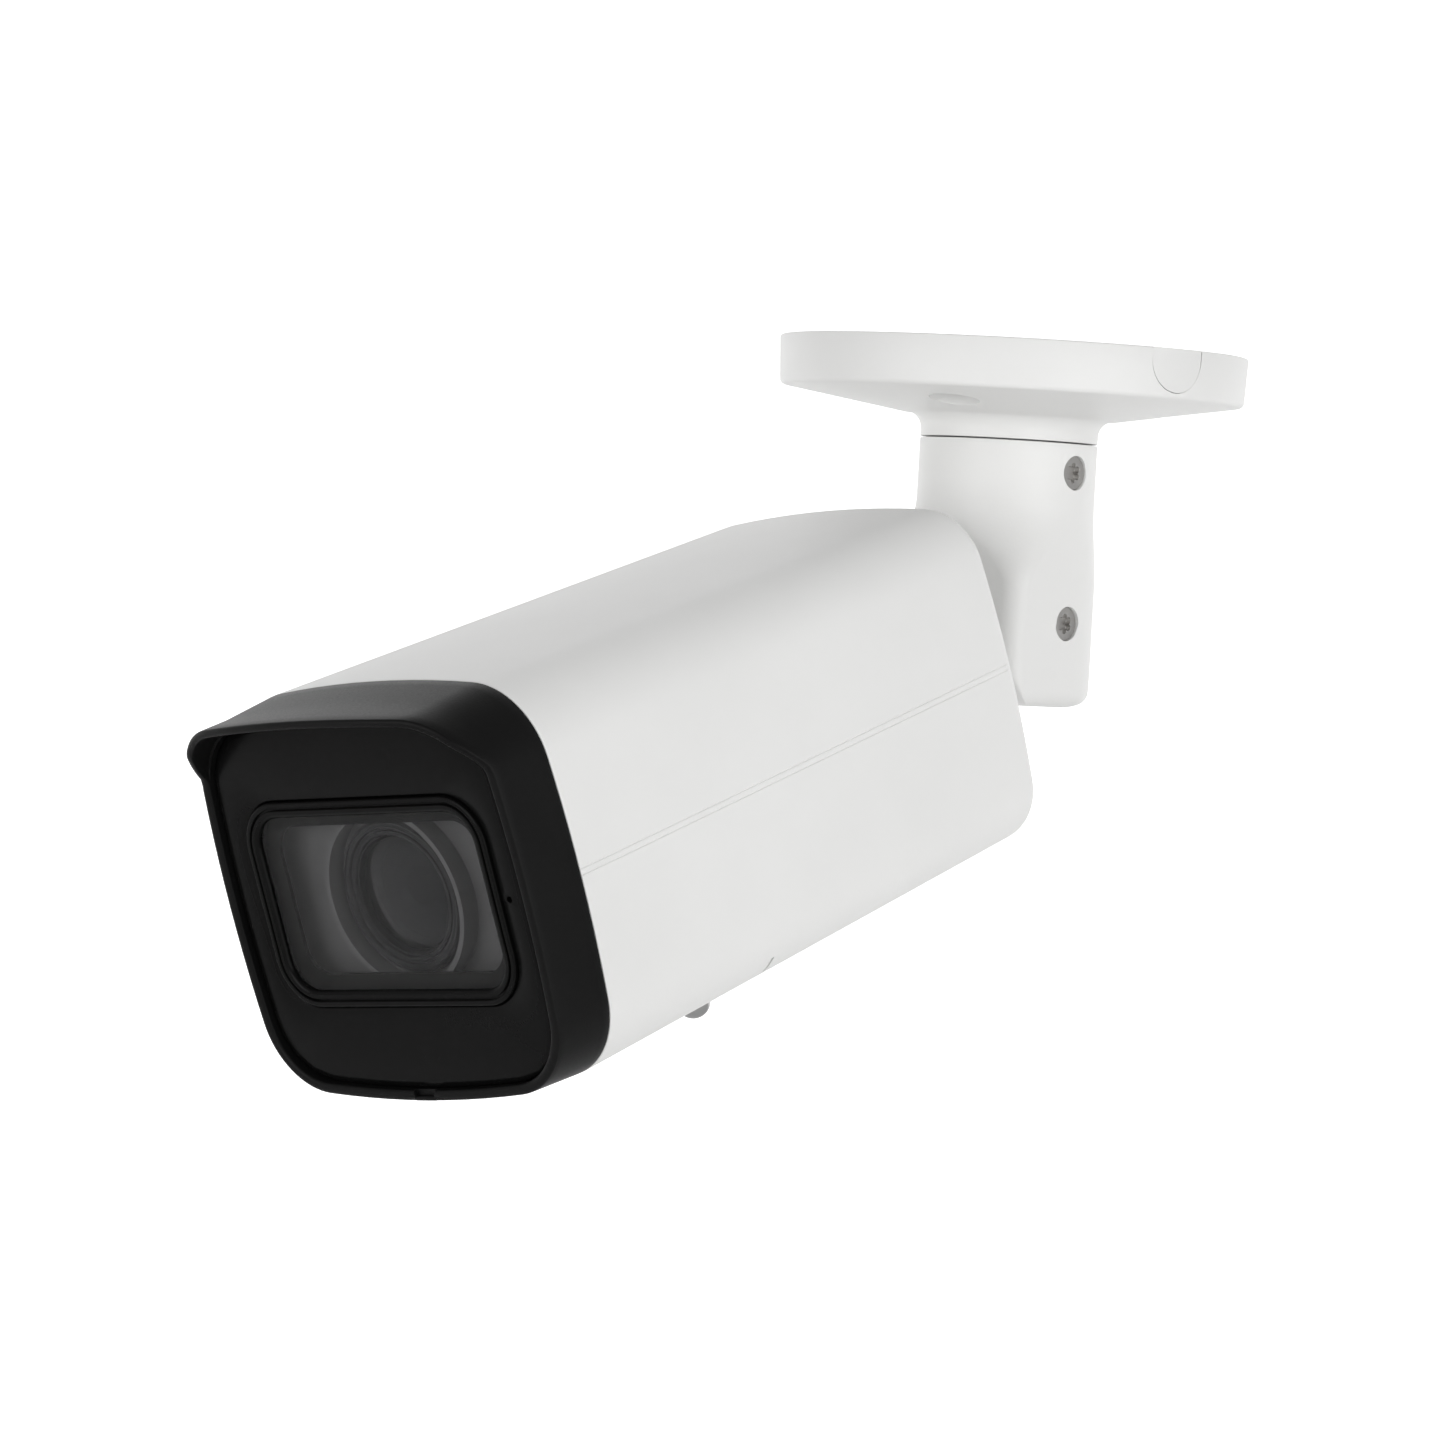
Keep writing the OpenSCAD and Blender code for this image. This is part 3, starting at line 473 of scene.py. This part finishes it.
def rounded_ring(hw, hh, r, y, steps=14, between=12):
    """Rounded rectangle in the body's front plane, with points along its straight edges too."""
    corners = []
    for sx, sz, start in ((1, 1, 0), (-1, 1, 90), (-1, -1, 180), (1, -1, 270)):
        corner = []
        for k in range(steps + 1):
            a = math.radians(start + 90 * k / steps)
            corner.append(Vector((sx * (hw - r) + r * math.cos(a), y, sz * (hh - r) + r * math.sin(a))))
        corners.append(corner)
    ring = []
    for corner, following in zip(corners, corners[1:] + corners[:1]):
        ring += corner
        ring += [corner[-1].lerp(following[0], k / between) for k in range(1, between)]
    return ring


def outline_like(ring, inset, y):
    """The body's outline at the directions of another ring's points."""
    places = [on_section(p, inset) for p in section()]
    angles = [math.atan2(z, x) for x, z in places]

    def turn_to(i, a):
        """Turn from one direction to that of a place, between minus and plus half a turn."""
        return (angles[i] - a + math.pi) % (2 * math.pi) - math.pi

    made = []
    for q in ring:
        a = math.atan2(q.z, q.x)
        i, j = sorted(range(len(places)), key=lambda k: abs(turn_to(k, a)))[:2]
        di = turn_to(i, a)
        dj = turn_to(j, a)
        t = 0 if abs(di - dj) < 1e-9 else di / (di - dj)
        made.append(Vector((places[i][0] + (places[j][0] - places[i][0]) * t, y,
                            places[i][1] + (places[j][1] - places[i][1]) * t)))
    return made


frame_low, frame_high = extent("window_frame", body)
glass_low, glass_high = extent("window_glass", body)
barrel_low, barrel_high = extent("lens_barrel", body)
LENS_Z = (barrel_low.z + barrel_high.z) / 2
FRAME_FLANGE = 1.2 * MM
FRAME_HW = frame_high.x - FRAME_FLANGE
FRAME_HH = frame_high.z - FRAME_FLANGE
FRAME_CORNER = 9 * MM


def make_panel():
    """Satin front panel with a bevelled edge and the window's opening."""
    outer_inset = RIM_INSET + 1.9 * MM + 0.15 * MM
    bevel = 1.2 * MM
    bevel_depth = 0.4 * MM
    soft = 0.25 * MM
    back = PANEL_FRONT + 2.05 * MM
    hole = 0.15 * MM
    inner = rounded_ring(FRAME_HW + hole, FRAME_HH + hole, FRAME_CORNER + hole, 0)
    inner_soft = rounded_ring(FRAME_HW + hole + soft, FRAME_HH + hole + soft, FRAME_CORNER + hole + soft, 0)

    def at_y(ring, y):
        return [Vector((p.x, y, p.z)) for p in ring]

    between = [p.lerp(q, 0.5) for p, q in zip(inner, inner_soft)]
    rings = [at_y(inner, back), at_y(inner, PANEL_FRONT + soft), at_y(between, PANEL_FRONT + soft * 0.3),
             at_y(inner_soft, PANEL_FRONT),
             outline_like(inner, outer_inset + bevel + soft, PANEL_FRONT),
             outline_like(inner, outer_inset + bevel, PANEL_FRONT + soft * 0.2),
             outline_like(inner, outer_inset + bevel - soft, PANEL_FRONT + soft * 0.5),
             outline_like(inner, outer_inset + 0.1 * MM, PANEL_FRONT + bevel_depth),
             outline_like(inner, outer_inset, PANEL_FRONT + bevel_depth + 0.1 * MM),
             outline_like(inner, outer_inset, back)]
    mesh = ring_mesh("front_panel", rings, loop=True)
    hole_x = extent("microphone", body)[0].x + 0.7 * MM
    hole_r = 0.6 * MM
    pinhole = rod_mesh(Vector((hole_x, 0, 0)), Vector((0, 1, 0)), hole_r, -5 * MM, 20 * MM, 20)
    mesh = carve(mesh, [pinhole])
    finish_mesh(mesh)
    return new_piece("front_panel_moulding", place(mesh, body), "camera", "black_panel", "front_panel")


def make_window_frame():
    """Raised frame round the glass, with the fine groove along its top."""
    front = frame_low.y
    back = frame_high.y
    glass_y = glass_low.y
    round_r = 0.45 * MM
    lip = 3 * MM
    groove = 0.6 * MM
    profile = [(back, -FRAME_FLANGE), (PANEL_FRONT + 2.2 * MM, -FRAME_FLANGE), (PANEL_FRONT + 2.2 * MM, 0)]
    for k in range(5):
        a = math.pi / 2 * k / 4
        profile.append((front + round_r * (1 - math.sin(a)), round_r * (1 - math.cos(a))))
    profile += [(front, 0.95 * MM), (front + 0.12 * MM, 1.08 * MM), (front + groove, 1.12 * MM),
                (front + groove, 1.48 * MM), (front + 0.12 * MM, 1.52 * MM), (front, 1.65 * MM),
                (front, lip - 0.9 * MM)]
    for k in range(1, 5):
        a = math.pi / 2 * k / 4
        profile.append((front + 0.9 * MM * (1 - math.cos(a)), lip - 0.9 * MM + 0.9 * MM * math.sin(a)))
    profile += [(glass_y, lip), (glass_y, lip - 1.5 * MM), (back, lip - 1.5 * MM)]
    rings = [rounded_ring(FRAME_HW - d, FRAME_HH - d, FRAME_CORNER - d, y) for y, d in profile]
    mesh = ring_mesh("window_frame", rings, loop=True)
    return new_piece("window_frame_moulding", place(mesh, body), "camera", "black_panel", "window_frame")


# ---------- mount pieces ----------

base_low, base_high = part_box("mount_base")
arm_low, arm_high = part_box("arm")
BASE_R = base_high.x
NECK_R = 17.3 * MM
ARM_HW = arm_high.x
ARM_END_R = pivot.z - arm_low.z
ARM_END_CORNER = 13 * MM
ARM_SIDE_CORNER = 5 * MM
ARM_TOP = arm_high.z


def arm_section(a, blend):
    """Point of the arm's section: a circle at blend 0, flat-sided and square-fronted at blend 1."""
    n = Vector((math.cos(a), math.sin(a)))
    round_point = n * NECK_R
    if blend <= 0:
        return round_point
    front_r = 4 * MM
    back_r = 15 * MM
    front = 15.5 * MM
    sx = 1 if n.x >= 0 else -1
    if n.y < 0:
        centre = Vector((sx * (ARM_HW - front_r), front_r - front))
        square = centre + n * front_r
    else:
        centre = Vector((sx * (ARM_HW - back_r), NECK_R - back_r))
        square = centre + n * back_r
    return round_point.lerp(square, blend)


def soft_least(a, b, softness):
    """The lesser of two lengths, with the change from one to the other rounded off."""
    least = min(a, b)
    return max(0, least - softness * math.log(1 + math.exp((least - max(a, b)) / softness)))


def end_reach(below, full, corner_r):
    """Reach of the arm's rounded lower end from its middle at a distance below the tilt axis."""
    into_corner = below - (ARM_END_R - corner_r)
    if into_corner <= 0:
        return full
    return full - corner_r + math.sqrt(max(0, corner_r ** 2 - into_corner ** 2))


def arm_rings():
    """Rings of the arm from its top edge to its rounded lower end."""
    steps = 96
    angles = [2 * math.pi * (i + 0.5) / steps for i in range(steps)]
    edge = 0.2 * MM
    blend_top = -30 * MM
    blend_low = -47 * MM
    levels = [(ARM_TOP, edge), (ARM_TOP - edge * 0.3, edge * 0.3), (ARM_TOP - edge, 0)]
    runs = 14
    for k in range(runs + 1):
        levels.append((blend_top + (blend_low - blend_top) * k / runs, 0))
    levels += [(pivot.z + 3 * MM, 0), (pivot.z, 0)]
    end_steps = 30
    edge_r = 3 * MM
    for k in range(1, end_steps):
        below = ARM_END_R * math.sin(math.pi / 2 * k / end_steps)
        into_edge = max(0, below - (ARM_END_R - edge_r))
        levels.append((pivot.z - below, edge_r - math.sqrt(edge_r ** 2 - into_edge ** 2)))
    rings = []
    for z, inset in levels:
        t = min(1, max(0, (z - blend_top) / (blend_low - blend_top)))
        blend = t * t * (3 - 2 * t)
        below = max(0, pivot.z - z)
        ring = []
        for a in angles:
            p = arm_section(a, blend) * (1 - inset / NECK_R)
            x, y = p
            if below:
                side = end_reach(below, ARM_HW, ARM_SIDE_CORNER)
                end = end_reach(below, NECK_R, ARM_END_CORNER)
                x = math.copysign(soft_least(abs(x), side, 0.3 * MM), x)
                y = math.copysign(soft_least(abs(y), end, 0.8 * MM), y)
            ring.append(Vector((x, y, z)))
        rings.append(ring)
    return rings


def screw_place(node):
    """Point of the arm's middle plane on a lock screw's axis."""
    low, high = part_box(node)
    return Vector((0, 0, (low.z + high.z) / 2))


def make_arm():
    """Cast arm: round where it meets the base, flat-sided round the tilt joint."""
    mesh = ring_mesh("arm", arm_rings(), caps=True)
    slot_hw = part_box("tilt_washers")[1].x
    slot_top = pivot.z + 12.1 * MM
    slot_back = 12 * MM
    seat_r = 12.05 * MM
    seat_end = -30.7 * MM
    passage_r = 8 * MM
    head_r = 3.35 * MM
    head_seat = ARM_HW - 2.2 * MM
    shank_r = 2.52 * MM
    axis = Vector((0, 0, 0))
    up = Vector((0, 0, 1))
    across = Vector((1, 0, 0))
    cutters = [box_mesh(Vector((-slot_hw, -30 * MM, -90 * MM)), Vector((slot_hw, slot_back, slot_top))),
               rod_mesh(axis, up, seat_r, seat_end, 0),
               rod_mesh(axis, up, passage_r, pivot.z, -10 * MM)]
    for node in ("pan_lock_screw", "tilt_lock_screw"):
        cutters.append(rod_mesh(screw_place(node), across, head_r, head_seat, 30 * MM))
        cutters.append(rod_mesh(screw_place(node), across, shank_r, 0, 20 * MM))
    mesh = carve(mesh, cutters)
    finish_mesh(mesh, math.radians(35))
    obj = new_piece("arm_casting", mesh, "arm", "white_paint", "arm")
    return bevelled(obj, 0.5 * MM, 3, 50)


def make_lens_barrel():
    """Turned barrel: stepped front ring round the glass, seats of the two geared rings, rear flange."""
    low, high = extent("lens_barrel", body)
    front = low.y
    glass_r = 10.4 * MM
    barrel_r = 14.2 * MM
    seat_r = glass_r + 3 * MM
    bore_r = glass_r + 0.6 * MM
    flange_y = high.y - 2.5 * MM
    flange_r = high.x
    ring_gap = 0.3 * MM
    ring_l = 8 * MM
    fine = 0.12 * MM
    profile = []
    zoom_y = 22 * MM
    focus_y = 34 * MM
    for y in (zoom_y, focus_y):
        profile += [(y - ring_gap, barrel_r), (y - ring_gap, seat_r), (y + ring_l + ring_gap, seat_r),
                    (y + ring_l + ring_gap, barrel_r)]
    rear_bore_r = bore_r - MM
    mid_bore_r = bore_r - 1.6 * MM
    rear_step = flange_y - 8 * MM
    front_step = front + 5 * MM
    profile += [(flange_y, barrel_r), (flange_y, flange_r - 0.3 * MM), (flange_y + 0.3 * MM, flange_r),
                (high.y, flange_r), (high.y, rear_bore_r), (rear_step, rear_bore_r),
                (rear_step, mid_bore_r), (front_step, mid_bore_r), (front_step, bore_r)]
    inner = bore_r
    steps = [(0.9 * MM, 0.35 * MM), (0.35 * MM, 0.75 * MM), (0.6 * MM, 0.5 * MM), (0.1 * MM, 0.9 * MM)]
    for depth, width in steps:
        profile += [(front + depth + fine, inner), (front + depth, inner + fine),
                    (front + depth, inner + width - fine)]
        inner += width
    profile += [(front + 0.1 * MM, inner), (front, inner + fine), (front, barrel_r - 0.4 * MM),
                (front + 0.4 * MM, barrel_r)]
    around = [2 * math.pi * i / 128 for i in range(128)]
    rings = [[Vector((r * math.cos(a), y, LENS_Z + r * math.sin(a))) for a in around] for y, r in profile]
    mesh = ring_mesh("lens_barrel", rings, loop=True)
    return new_piece("lens_barrel_turned", place(mesh, body), "camera", "black_anodised", "lens_barrel")


def make_base():
    """Turned base: flat rim, shallow cone, filleted neck; then its holes, pocket and side entry are cut."""
    rim_h = 9.7 * MM
    draft = 0.4 * MM
    edge = 1.1 * MM
    cone_z = -rim_h - 3.9 * MM
    fillet = 3 * MM
    neck_end = ARM_TOP + 0.3 * MM
    spigot_r = 12 * MM
    bore_r = 8 * MM
    low = base_low.z
    profile = [(bore_r, 0), (BASE_R - 0.5 * MM, 0), (BASE_R - 0.15 * MM, -0.15 * MM), (BASE_R, -0.5 * MM)]
    for k in range(9):
        a = math.radians(-80 * k / 8)
        profile.append((BASE_R - draft - edge + edge * math.cos(a), edge - rim_h + edge * math.sin(a)))
    for k in range(15):
        a = math.radians(81 + 99 * k / 14)
        profile.append((NECK_R + fillet + fillet * math.cos(a), cone_z - fillet + fillet * math.sin(a)))
    profile += [(NECK_R, neck_end + 0.12 * MM), (NECK_R - 0.12 * MM, neck_end), (spigot_r, neck_end),
                (spigot_r, low), (bore_r, low)]
    around = [2 * math.pi * i / 160 for i in range(160)]
    rings = [[Vector((r * math.cos(a), r * math.sin(a), z)) for a in around] for r, z in profile]
    mesh = ring_mesh("mount_base", rings, loop=True)
    up = Vector((0, 0, 1))
    cutters = []
    hole_circle_r = 32 * MM
    hole_r = 2.5 * MM
    counterbore_r = 4.9 * MM
    counterbore_top = -8 * MM
    below = -20 * MM
    for k in range(3):
        a = math.radians(-70 + 120 * k)
        centre = Vector((hole_circle_r * math.cos(a), hole_circle_r * math.sin(a), 0))
        cutters.append(rod_mesh(centre, up, hole_r, below, MM))
        cutters.append(rod_mesh(centre, up, counterbore_r, below, counterbore_top))
    cutters.append(entry_cutter(0.12 * MM))
    mesh = carve(mesh, cutters)
    finish_mesh(mesh, math.radians(30))
    return new_piece("mount_base_casting", mesh, "base", "white_paint", "mount_base")


def entry_cutter(grow):
    """U-shaped side cable entry through the rim."""
    radius = 6.4 * MM + grow
    middle = -2 * MM
    inner = BASE_R - 3 * MM
    outline = [Vector((0, radius, 2 * MM)), Vector((0, -radius, 2 * MM))]
    steps = 24
    for k in range(steps + 1):
        a = math.pi + math.pi * k / steps
        outline.append(Vector((0, radius * math.cos(a), middle + radius * math.sin(a))))
    turn = Matrix.Rotation(math.radians(-7), 4, "Z")
    rings = [[turn @ (p + Vector((x, 0, 0))) for p in outline] for x in (inner, BASE_R + 2 * MM)]
    return ring_mesh("entry", rings, caps=True)


def softened(node, body_name, slot, width, angle=40):
    """A CAD node with its edges rounded."""
    mesh = frame["nodes"][node].data.copy()
    bm = bmesh.new()
    bm.from_mesh(mesh)
    bmesh.ops.remove_doubles(bm, verts=bm.verts, dist=0.002 * MM)
    bmesh.ops.dissolve_limit(bm, angle_limit=math.radians(0.5), verts=bm.verts, edges=bm.edges)
    bm.to_mesh(mesh)
    bm.free()
    finish_mesh(mesh)
    obj = new_piece(node + "_finish", mesh, body_name, slot, node)
    return bevelled(obj, width, 2, angle)


# ---------- materials ----------

def ramp(tree, source, low, high, start=0.3, end=0.7):
    """Maps a 0-1 value to colours from low to high."""
    made = tree.nodes.new("ShaderNodeValToRGB")
    made.color_ramp.elements[0].position = start
    made.color_ramp.elements[1].position = end
    made.color_ramp.elements[0].color = (*low, 1)
    made.color_ramp.elements[1].color = (*high, 1)
    tree.links.new(source, made.inputs["Fac"])
    return made.outputs["Color"]


def spread(tree, source, low, high):
    made = tree.nodes.new("ShaderNodeMapRange")
    made.inputs["To Min"].default_value = low
    made.inputs["To Max"].default_value = high
    tree.links.new(source, made.inputs["Value"])
    return made.outputs["Result"]


def noise(tree, scale, detail=4, stretch=(1, 1, 1)):
    """Noise over the object's own metres."""
    place_node = tree.nodes.new("ShaderNodeTexCoord")
    mapping = tree.nodes.new("ShaderNodeMapping")
    mapping.inputs["Scale"].default_value = stretch
    made = tree.nodes.new("ShaderNodeTexNoise")
    made.inputs["Scale"].default_value = scale
    made.inputs["Detail"].default_value = detail
    tree.links.new(place_node.outputs["Object"], mapping.inputs["Vector"])
    tree.links.new(mapping.outputs["Vector"], made.inputs["Vector"])
    return made.outputs["Fac"]


def bump(tree, height, depth, strength=1):
    made = tree.nodes.new("ShaderNodeBump")
    made.inputs["Distance"].default_value = depth
    made.inputs["Strength"].default_value = strength
    tree.links.new(height, made.inputs["Height"])
    return made.outputs["Normal"]


def solid(name, dark, light, rough, grain, depth, patch=25, metallic=0, specular=0.5, stretch=(1, 1, 1)):
    """Painted, moulded or machined surface: patchy colour, uneven gloss and a fine grain in relief."""
    made = bpy.data.materials.new(name)
    made.use_nodes = True
    tree = made.node_tree
    shader = tree.nodes["Principled BSDF"]
    shader.inputs["Metallic"].default_value = metallic
    shader.inputs["Specular IOR Level"].default_value = specular
    tree.links.new(ramp(tree, noise(tree, patch, 6), dark, light), shader.inputs["Base Color"])
    fine = noise(tree, grain, 3, stretch)
    tree.links.new(spread(tree, fine, *rough), shader.inputs["Roughness"])
    tree.links.new(bump(tree, fine, depth), shader.inputs["Normal"])
    return made


def thin_glass(name, tint, edge_tint, haze, gloss=0.03, base=0.04, rim=0.6):
    """Flat coated glass: clear face on, reflective at a slant, with a trace of haze and smears."""
    made = bpy.data.materials.new(name)
    made.use_nodes = True
    tree = made.node_tree
    tree.nodes.remove(tree.nodes["Principled BSDF"])
    out = tree.nodes["Material Output"]
    clear = tree.nodes.new("ShaderNodeBsdfTransparent")
    clear.inputs["Color"].default_value = (*tint, 1)
    shine = tree.nodes.new("ShaderNodeBsdfGlossy")
    facing = tree.nodes.new("ShaderNodeLayerWeight")
    facing.inputs["Blend"].default_value = 0.35
    shine_tint = ramp(tree, facing.outputs["Facing"], edge_tint, (0.9, 0.9, 0.9), 0, 0.9)
    tree.links.new(shine_tint, shine.inputs["Color"])
    smear = noise(tree, 60, 5)
    tree.links.new(spread(tree, smear, gloss, gloss * 2.5), shine.inputs["Roughness"])
    amount = tree.nodes.new("ShaderNodeMapRange")
    amount.interpolation_type = "SMOOTHSTEP"
    amount.inputs["To Min"].default_value = base
    amount.inputs["To Max"].default_value = rim
    tree.links.new(facing.outputs["Facing"], amount.inputs["Value"])
    mirror = tree.nodes.new("ShaderNodeMixShader")
    tree.links.new(amount.outputs["Result"], mirror.inputs["Fac"])
    tree.links.new(clear.outputs["BSDF"], mirror.inputs[1])
    tree.links.new(shine.outputs["BSDF"], mirror.inputs[2])
    dust = tree.nodes.new("ShaderNodeBsdfDiffuse")
    dust.inputs["Color"].default_value = (0.5, 0.5, 0.5, 1)
    blend = tree.nodes.new("ShaderNodeMixShader")
    tree.links.new(spread(tree, smear, haze * 0.7, haze * 1.3), blend.inputs["Fac"])
    tree.links.new(mirror.outputs["Shader"], blend.inputs[1])
    tree.links.new(dust.outputs["BSDF"], blend.inputs[2])
    tree.links.new(blend.outputs["Shader"], out.inputs["Surface"])
    return made


def circuit_board():
    """Solder mask with the lighter lines of copper tracks under it."""
    made = bpy.data.materials.new("circuit_board")
    made.use_nodes = True
    tree = made.node_tree
    shader = tree.nodes["Principled BSDF"]
    coords = tree.nodes.new("ShaderNodeTexCoord")
    tracks = tree.nodes.new("ShaderNodeTexBrick")
    tracks.inputs["Scale"].default_value = 260
    tracks.inputs["Mortar Size"].default_value = 0.03
    tracks.inputs["Color1"].default_value = (0.005, 0.05, 0.02, 1)
    tracks.inputs["Color2"].default_value = (0.006, 0.07, 0.025, 1)
    tracks.inputs["Mortar"].default_value = (0.02, 0.16, 0.06, 1)
    tree.links.new(coords.outputs["Object"], tracks.inputs["Vector"])
    tree.links.new(tracks.outputs["Color"], shader.inputs["Base Color"])
    tree.links.new(spread(tree, noise(tree, 900), 0.25, 0.4), shader.inputs["Roughness"])
    tree.links.new(bump(tree, tracks.outputs["Fac"], 0.02 * MM), shader.inputs["Normal"])
    return made


def grey(value, blue=0):
    """A grey, or with a little more blue."""
    return (value, value, value + blue)


def make_materials():
    """The look of each slot. Blender numbers a name that the frame already uses, so the number is cut off."""
    fine = 0.012 * MM
    made = [
        solid("white_paint", (0.80, 0.80, 0.79), (0.83, 0.83, 0.82), (0.42, 0.56), 1500, fine),
        solid("white_plastic", (0.78, 0.78, 0.77), (0.82, 0.82, 0.81), (0.35, 0.45), 900, fine / 2),
        solid("black_rubber", grey(0.012), grey(0.02), (0.65, 0.85), 1200, fine * 2, specular=0.2),
        solid("stainless_steel", (0.5, 0.49, 0.48), (0.64, 0.63, 0.61), (0.24, 0.38), 900, fine,
              patch=200, metallic=1, stretch=(0.2, 1, 1)),
        solid("polished_steel", grey(0.33), grey(0.45), (0.06, 0.14), 500, fine / 3, patch=120, metallic=1),
        solid("nylon_washer", grey(0.25), grey(0.3), (0.4, 0.5), 900, fine),
        solid("black_hood", grey(0.004), grey(0.007), (0.34, 0.5), 2600, fine * 1.5, specular=0.1),
        solid("black_panel", grey(0.003), grey(0.005), (0.2, 0.3), 1800, fine / 2, specular=0.09),
        thin_glass("window_glass", grey(0.86), grey(0.9), 0.0015, base=0.004, rim=0.12),
        thin_glass("lens_glass", grey(0.4, 0.02), grey(0.75, 0.05), 0.003, base=0.012, rim=0.3),
        solid("black_anodised", grey(0.010, 0.002), grey(0.016, 0.002), (0.25, 0.4), 900, fine,
              specular=0.3),
        solid("grey_plastic", grey(0.11, 0.003), grey(0.14, 0.003), (0.4, 0.55), 900, fine),
        solid("motor_steel", grey(0.45), grey(0.6), (0.2, 0.35), 600, fine, metallic=1),
        thin_glass("filter_glass", (0.35, 0.62, 0.75), (0.4, 0.7, 0.9), 0.01),
        circuit_board(),
        solid("sensor_silicon", (0.02, 0.03, 0.05), (0.05, 0.07, 0.08), (0.08, 0.14), 500, fine / 4),
        solid("chip_black", grey(0.012, 0.002), grey(0.02, 0.002), (0.5, 0.6), 1500, fine),
        solid("bare_aluminium", (0.6, 0.61, 0.62), (0.7, 0.71, 0.72), (0.3, 0.5), 700, fine,
              metallic=1, stretch=(0.3, 1, 1)),
        solid("microphone_can", (0.55, 0.4, 0.18), (0.65, 0.5, 0.25), (0.25, 0.35), 600, fine / 2,
              metallic=1),
    ]
    return {material.name.split(".")[0]: material for material in made}


def dress(materials):
    """Gives every piece the material of its slot."""
    slots = {part["node"]: part["material_slot"] for part in frame["record"]["subparts"]}
    for node, obj in frame["nodes"].items():
        obj.data.materials.clear()
        obj.data.materials.append(materials[slots[node]])
        for polygon in obj.data.polygons:
            polygon.use_smooth = True
        obj.data.set_sharp_from_angle(angle=SMOOTH_ANGLE)
    for obj in bpy.data.objects:
        if obj.get("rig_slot"):
            obj.data.materials.clear()
            obj.data.materials.append(materials[obj["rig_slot"]])


# ---------- stage and light ----------

BACKDROP_GLOW = 0.75
GLOW_START = 0.3
GLOW_FULL = 1.0


def floor_paper():
    """White paper that glows more and more behind the object, so that the backdrop stays pure white."""
    paper = solid("floor_paper", (0.88, 0.88, 0.88), (0.9, 0.9, 0.9), (0.85, 0.95), 300, 0.01 * MM, patch=3)
    tree = paper.node_tree
    coords = tree.nodes.new("ShaderNodeTexCoord")
    split = tree.nodes.new("ShaderNodeSeparateXYZ")
    tree.links.new(coords.outputs["Object"], split.inputs["Vector"])
    glow = tree.nodes.new("ShaderNodeMapRange")
    glow.interpolation_type = "SMOOTHSTEP"
    glow.inputs["From Min"].default_value = GLOW_START
    glow.inputs["From Max"].default_value = GLOW_FULL
    glow.inputs["To Max"].default_value = BACKDROP_GLOW
    tree.links.new(split.outputs["Y"], glow.inputs["Value"])
    shader = tree.nodes["Principled BSDF"]
    shader.inputs["Emission Color"].default_value = (1, 1, 1, 1)
    tree.links.new(glow.outputs["Result"], shader.inputs["Emission Strength"])
    return paper


def make_stage():
    """Pale floor that sweeps up into a backdrop behind the object."""
    low = cad_bounds[0].z - 0.25
    half = 3.5
    front = -3.0
    rear = 1.4
    bend = 0.8
    top = 3.0
    profile = [(front, low), (rear, low)]
    steps = 16
    for k in range(1, steps + 1):
        a = math.pi / 2 * k / steps
        profile.append((rear + bend * math.sin(a), low + bend * (1 - math.cos(a))))
    profile.append((rear + bend, low + top))
    points = [Vector((x, y, z)) for y, z in profile for x in (-half, half)]
    faces = [(2 * k, 2 * k + 1, 2 * k + 3, 2 * k + 2) for k in range(len(profile) - 1)]
    mesh = bpy.data.meshes.new("floor")
    mesh.from_pydata(points, [], faces)
    for polygon in mesh.polygons:
        polygon.use_smooth = True
    floor = bpy.data.objects.new("floor", mesh)
    bpy.context.scene.collection.objects.link(floor)
    floor.matrix_world = Matrix.Rotation(VIEW_AZIMUTH, 4, "Z")
    mesh.materials.append(floor_paper())


def area_light(name, azimuth, elevation, distance, size, power):
    """Soft square light aimed at the object. Azimuth 0 is the camera's side, positive to its right."""
    turn = VIEW_AZIMUTH + math.radians(azimuth)
    rise = math.radians(elevation)
    away = Vector((math.sin(turn) * math.cos(rise), -math.cos(turn) * math.cos(rise), math.sin(rise)))
    data = bpy.data.lights.new(name, "AREA")
    data.size = size
    data.energy = power
    light = bpy.data.objects.new(name, data)
    facing = away.to_track_quat("Z", "Y").to_matrix().to_4x4()
    light.matrix_world = Matrix.Translation(VIEW_AIM + away * distance) @ facing
    bpy.context.scene.collection.objects.link(light)


def make_light():
    scene = bpy.context.scene
    world = bpy.data.worlds.new("studio")
    world.use_nodes = True
    world.node_tree.nodes["Background"].inputs["Color"].default_value = (1, 1, 1, 1)
    world.node_tree.nodes["Background"].inputs["Strength"].default_value = 0.42
    scene.world = world
    scene.view_settings.view_transform = "Standard"
    area_light("key", 42, 0, 1.6, 1.4, 16)
    area_light("fill", -50, -8, 1.6, 1.4, 16)


make_camera()
make_shell()
make_hood()
make_panel()
make_window_frame()
make_base()
make_arm()
softened("rear_cover", "camera", "white_paint", 0.4 * MM)
softened("tilt_knuckle", "knuckle", "white_paint", 0.4 * MM)
softened("card_cover", "camera", "white_paint", 0.2 * MM)
softened("pan_lock_screw", "arm", "stainless_steel", 0.12 * MM)
softened("tilt_lock_screw", "arm", "stainless_steel", 0.12 * MM)
make_lens_barrel()
dress(make_materials())
make_stage()
make_light()
